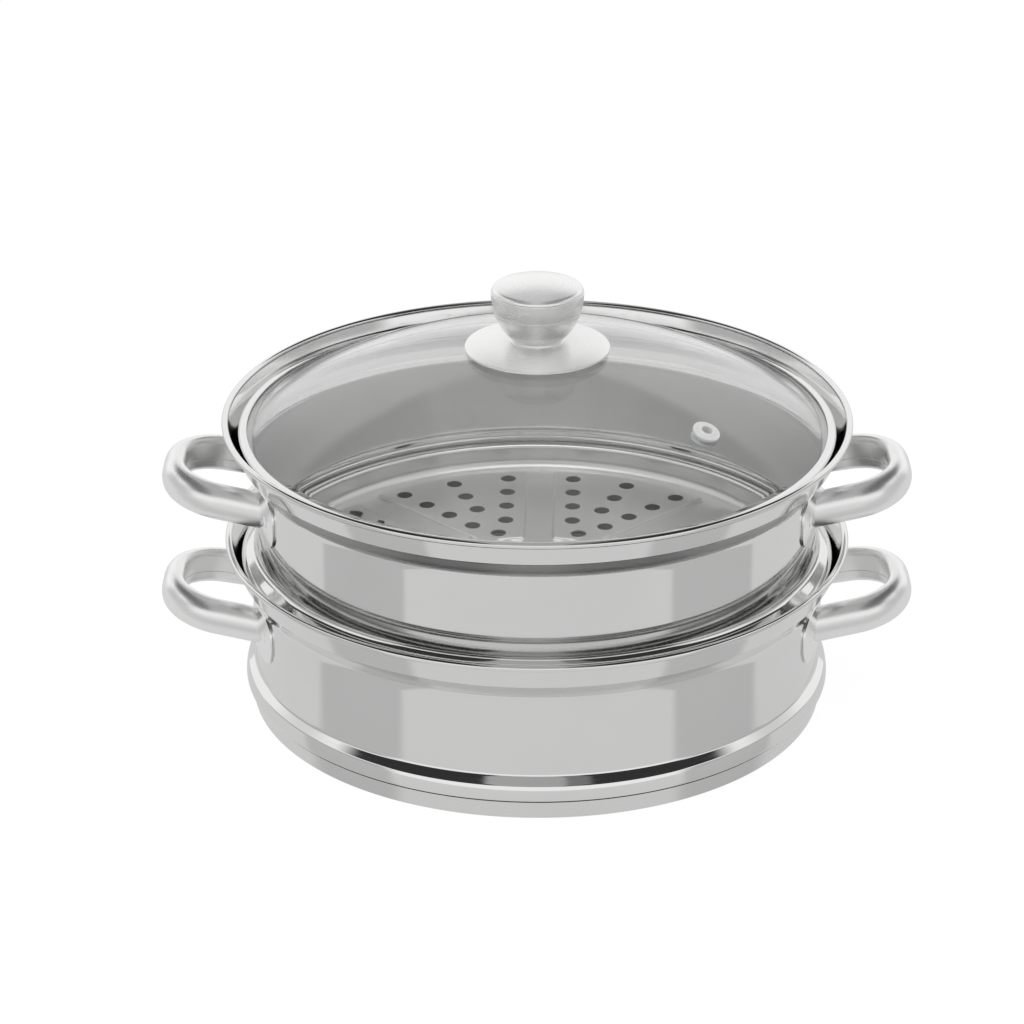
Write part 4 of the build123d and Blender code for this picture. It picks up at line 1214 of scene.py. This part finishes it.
class STEAMER_OT_stage(bpy.types.Operator):
    """Sets up the floor, the studio light and the camera"""
    bl_idname = "steamer.stage"
    bl_label = "Stage"

    # Half the floor's width, the share of glow in its look, and the glow's strength to the
    # camera, in mirror faces, where its dimmer level is a painted reflection, and in mirror faces
    # within a painted dark zone that the walls show as painted shade
    FLOOR_HALF, GLOW_SHARE, GLOW_SEEN, GLOW_MIRRORED, GLOW_SHADED = 8.0, 0.93, 1.03, 0.69, 0.52
    # Angles from the front between which the wall mirrors the painted dark zone, the wall's
    # radius, and half the width of the painted zone's soft edge
    CARD_FROM, CARD_TO = radians(27.7), radians(48.4)
    MIRROR_RADIUS, CARD_SOFTNESS = 0.137, 0.008

    # Painted reflection: the levels from here to the side level are seen only by rays off metal and
    # light nothing
    # Rise of a direction, from 0 level to 1 straight up, over which the backdrop gives way to
    # the ceiling in front of the pot and behind it
    CEILING_FRONT, CEILING_BACK = (0.37, 0.44), (0.55, 0.62)
    # How far toward the back a direction points where the one gives way to the other
    BACK_SPAN = (0.0, 0.25)
    # How far to the side the backdrop dims, and its level there
    SIDE_SPAN, SIDE_LEVEL = (0.78, 0.88), 0.5
    # Rise over which the backdrop gives way to the ceiling for rays through the glass, the
    # ceiling's level for them, and the brighter patch overhead that is added to it
    GLASS_SPAN, GLASS_LEVEL, ZENITH_SPAN, ZENITH_LEVEL = (0.03, 0.10), 0.80, (0.88, 0.97), 0.8
    # Level of the room for dull surfaces
    ROOM_LEVEL = 0.80
    # Grey levels of the painted ceiling that only rays off metal see, from left to right: painted
    # side softboxes, painted dark flags, a painted grey strip; none of them lights anything
    CEILING = ((-0.95, 0.50), (-0.91, 1.0), (-0.79, 1.0), (-0.74, 0.035), (-0.26, 0.035),
               (-0.23, 0.42), (0.13, 0.42), (0.15, 0.20), (0.24, 0.20), (0.27, 0.035),
               (0.74, 0.035), (0.79, 1.0), (0.91, 1.0), (0.95, 0.50))

    # Softbox: width in metres, power in watts, place, and the point it faces
    BOX_WIDTH, BOX_POWER = 1.6, 16.0
    BOX_PLACE, BOX_AIM = (-0.6, -0.7, 1.9), (0.0, 0.0, 0.05)
    # Camera, solved from the rims, the beads and the base: focal length and sensor in
    # millimetres, place, turns in degrees and far limit in metres
    LENS, SENSOR, FAR_LIMIT = 127.21, 36.0, 50.0
    CAMERA_PLACE, CAMERA_TURNS = (-0.01663, -1.58809, 0.81267), (65.5765, 0.0, -0.1685)

    def execute(self, context):
        scene = context.scene
        scene.view_settings.view_transform = "Standard"
        self.floor(scene, sizes(context, "finish"))
        self.world(scene)
        self.lamps(scene)
        self.camera(scene)
        return {"FINISHED"}

    def floor(self, scene, finish):
        """Pale floor, white to the camera with a soft shadow; mirrors see a painted dimmer glow and
        dark zone.
        """
        bm = bmesh.new()
        bmesh.ops.create_grid(bm, x_segments=1, y_segments=1, size=self.FLOOR_HALF)
        mesh = bpy.data.meshes.new("floor")
        bm.to_mesh(mesh)
        bm.free()
        floor = bpy.data.objects.new("floor", mesh)
        scene.collection.objects.link(floor)
        material, tree, shader, place = blank_material("Pale floor")
        shader.inputs["Base Color"].default_value = (*finish.backdrop_colour, 1.0)
        shader.inputs["Roughness"].default_value = 0.9
        shader.inputs["Specular IOR Level"].default_value = 0.0
        x, y, _ = axes(tree, place)
        aside = maths(tree, "ABSOLUTE", x)
        # Painted reflection: a darker zone of the floor's glow, seen only by mirror faces, paints
        # shade onto the walls
        card = maths(tree, "SUBTRACT", self.beyond(tree, aside, y, self.CARD_FROM),
                     self.beyond(tree, aside, y, self.CARD_TO), clamp=True)
        reflected = ranged(tree, card, 0.0, 1.0, self.GLOW_MIRRORED, self.GLOW_SHADED)
        camera, through, mirrored = self.rays(tree)
        seen = maths(tree, "MAXIMUM", camera, through)
        glow = tree.nodes.new("ShaderNodeEmission")
        feed(tree, maths(tree, "ADD", maths(tree, "MULTIPLY", seen, self.GLOW_SEEN),
                         maths(tree, "MULTIPLY", mirrored, reflected)), glow.inputs["Strength"])
        mix = tree.nodes.new("ShaderNodeMixShader")
        feed(tree, maths(tree, "MULTIPLY", maths(tree, "MAXIMUM", seen, mirrored),
                         self.GLOW_SHARE), mix.inputs["Fac"])
        tree.links.new(shader.outputs[0], mix.inputs[1])
        tree.links.new(glow.outputs[0], mix.inputs[2])
        tree.links.new(mix.outputs[0], tree.nodes["Material Output"].inputs["Surface"])
        mesh.materials.append(material)

    def rays(self, tree):
        """Masks of the camera's rays, of rays through the glass and of rays off metal."""
        path = tree.nodes.new("ShaderNodeLightPath")
        through = path.outputs["Is Transmission Ray"]
        mirrored = maths(tree, "SUBTRACT", path.outputs["Is Glossy Ray"], through, clamp=True)
        return path.outputs["Is Camera Ray"], through, mirrored

    def beyond(self, tree, aside, ahead, angle):
        """Where the floor lies past the line that the wall mirrors at an angle from its front."""
        first = maths(tree, "MULTIPLY",
                      maths(tree, "SUBTRACT", aside, self.MIRROR_RADIUS * sin(angle)),
                      cos(2 * angle))
        second = maths(tree, "MULTIPLY",
                       maths(tree, "ADD", ahead, self.MIRROR_RADIUS * cos(angle)),
                       sin(2 * angle))
        return ranged(tree, maths(tree, "ADD", first, second), -self.CARD_SOFTNESS,
                      self.CARD_SOFTNESS, 0.0, 1.0)

    def world(self, scene):
        """White backdrop; to rays off metal only it shows a painted reflection of a ceiling with a
        grey strip, dark flags and side softboxes, and of a backdrop dimmed at the sides."""
        world = bpy.data.worlds.new("Studio")
        world.use_nodes = True
        tree = world.node_tree
        scene.world = world
        x, y, z = axes(tree, tree.nodes.new("ShaderNodeTexCoord").outputs["Generated"])
        across = tree.nodes.new("ShaderNodeValToRGB")
        self.stops(across.color_ramp)
        feed(tree, ranged(tree, x, -1.0, 1.0, 0.0, 1.0, smooth=False), across.inputs["Fac"])
        level = tree.nodes.new("ShaderNodeMix")
        feed(tree, ranged(tree, y, *self.BACK_SPAN, 0.0, 1.0), level.inputs["Factor"])
        feed(tree, ranged(tree, z, *self.CEILING_FRONT, 0.0, 1.0), level.inputs["A"])
        feed(tree, ranged(tree, z, *self.CEILING_BACK, 0.0, 1.0), level.inputs["B"])
        mix = tree.nodes.new("ShaderNodeMix")
        feed(tree, level.outputs["Result"], mix.inputs["Factor"])
        feed(tree, ranged(tree, maths(tree, "ABSOLUTE", x), *self.SIDE_SPAN, 1.0,
                          self.SIDE_LEVEL), mix.inputs["A"])
        feed(tree, across.outputs["Color"], mix.inputs["B"])
        camera, through, mirrored = self.rays(tree)
        rest = maths(tree, "SUBTRACT", 1.0, maths(tree, "MAXIMUM", camera,
                                                  maths(tree, "MAXIMUM", mirrored, through)))
        plain = maths(tree, "ADD", ranged(tree, z, *self.GLASS_SPAN, 1.0, self.GLASS_LEVEL),
                      ranged(tree, z, *self.ZENITH_SPAN, 0.0, self.ZENITH_LEVEL))
        # Rays off metal get the painted reflection of ceiling and sides; dull surfaces get the
        # plain room level
        total = camera
        for mask, strength in ((mirrored, mix.outputs["Result"]), (through, plain),
                               (rest, self.ROOM_LEVEL)):
            total = maths(tree, "ADD", total, maths(tree, "MULTIPLY", mask, strength))
        background = tree.nodes["Background"]
        feed(tree, total, background.inputs["Strength"])
        background.inputs["Color"].default_value = (1.0, 1.0, 1.0, 1.0)

    def stops(self, ramp):
        """Sets a colour ramp to the grey levels of the ceiling."""
        while len(ramp.elements) > 1:
            ramp.elements.remove(ramp.elements[-1])
        for index, (place, level) in enumerate(self.CEILING):
            stop = ramp.elements[0] if index == 0 else ramp.elements.new((place + 1) / 2)
            stop.position = (place + 1) / 2
            stop.color = (level, level, level, 1.0)

    def lamps(self, scene):
        """One large soft lamp above, slightly to the left and in front."""
        lamp = bpy.data.lights.new("Key softbox", "AREA")
        lamp.shape = "RECTANGLE"
        lamp.size = self.BOX_WIDTH
        lamp.size_y = self.BOX_WIDTH
        lamp.energy = self.BOX_POWER
        key = bpy.data.objects.new("Key softbox", lamp)
        key.location = self.BOX_PLACE
        aim = Vector(self.BOX_AIM) - key.location
        key.rotation_euler = aim.to_track_quat("-Z", "Y").to_euler()
        key.visible_glossy = False
        key.visible_transmission = False
        scene.collection.objects.link(key)

    def camera(self, scene):
        """Camera at the height and distance of the photograph."""
        lens = bpy.data.cameras.new("Camera")
        lens.lens = self.LENS
        lens.sensor_width = self.SENSOR
        lens.clip_end = self.FAR_LIMIT
        camera = bpy.data.objects.new("Camera", lens)
        camera.location = self.CAMERA_PLACE
        camera.rotation_euler = [radians(turn) for turn in self.CAMERA_TURNS]
        scene.collection.objects.link(camera)
        scene.camera = camera


class STEAMER_PT_panel(bpy.types.Panel):
    """Sidebar panel that lists the pieces of the steamer pot"""
    bl_label = "Steamer pot"
    bl_idname = "STEAMER_PT_panel"
    bl_space_type = "VIEW_3D"
    bl_region_type = "UI"
    bl_category = "Steamer pot"

    def draw(self, context):
        for operator in OPERATORS:
            self.layout.operator(operator.bl_idname)


GROUPS = (("vessels", SteamerVesselSizes), ("floor", SteamerFloorSizes),
          ("handles", SteamerHandleSizes), ("lid", SteamerLidSizes),
          ("knob", SteamerKnobSizes), ("finish", SteamerFinish))
OPERATORS = (STEAMER_OT_pot_body, STEAMER_OT_base, STEAMER_OT_tier_body, STEAMER_OT_handles,
             STEAMER_OT_lid, STEAMER_OT_vent, STEAMER_OT_knob, STEAMER_OT_fastening,
             STEAMER_OT_stage)


def register():
    """Registers the sizes, the operators and the panel."""
    for name, group in GROUPS:
        bpy.utils.register_class(group)
        setattr(bpy.types.Scene, "steamer_" + name, PointerProperty(type=group))
    for operator in OPERATORS:
        bpy.utils.register_class(operator)
    bpy.utils.register_class(STEAMER_PT_panel)


def unregister():
    """Takes everything that register added away again."""
    bpy.utils.unregister_class(STEAMER_PT_panel)
    for operator in reversed(OPERATORS):
        bpy.utils.unregister_class(operator)
    for name, group in reversed(GROUPS):
        delattr(bpy.types.Scene, "steamer_" + name)
        bpy.utils.unregister_class(group)


def main():
    """Builds every piece in order."""
    register()
    for operator in OPERATORS:
        family, verb = operator.bl_idname.split(".")
        getattr(getattr(bpy.ops, family), verb)()


if __name__ == "__main__":
    main()
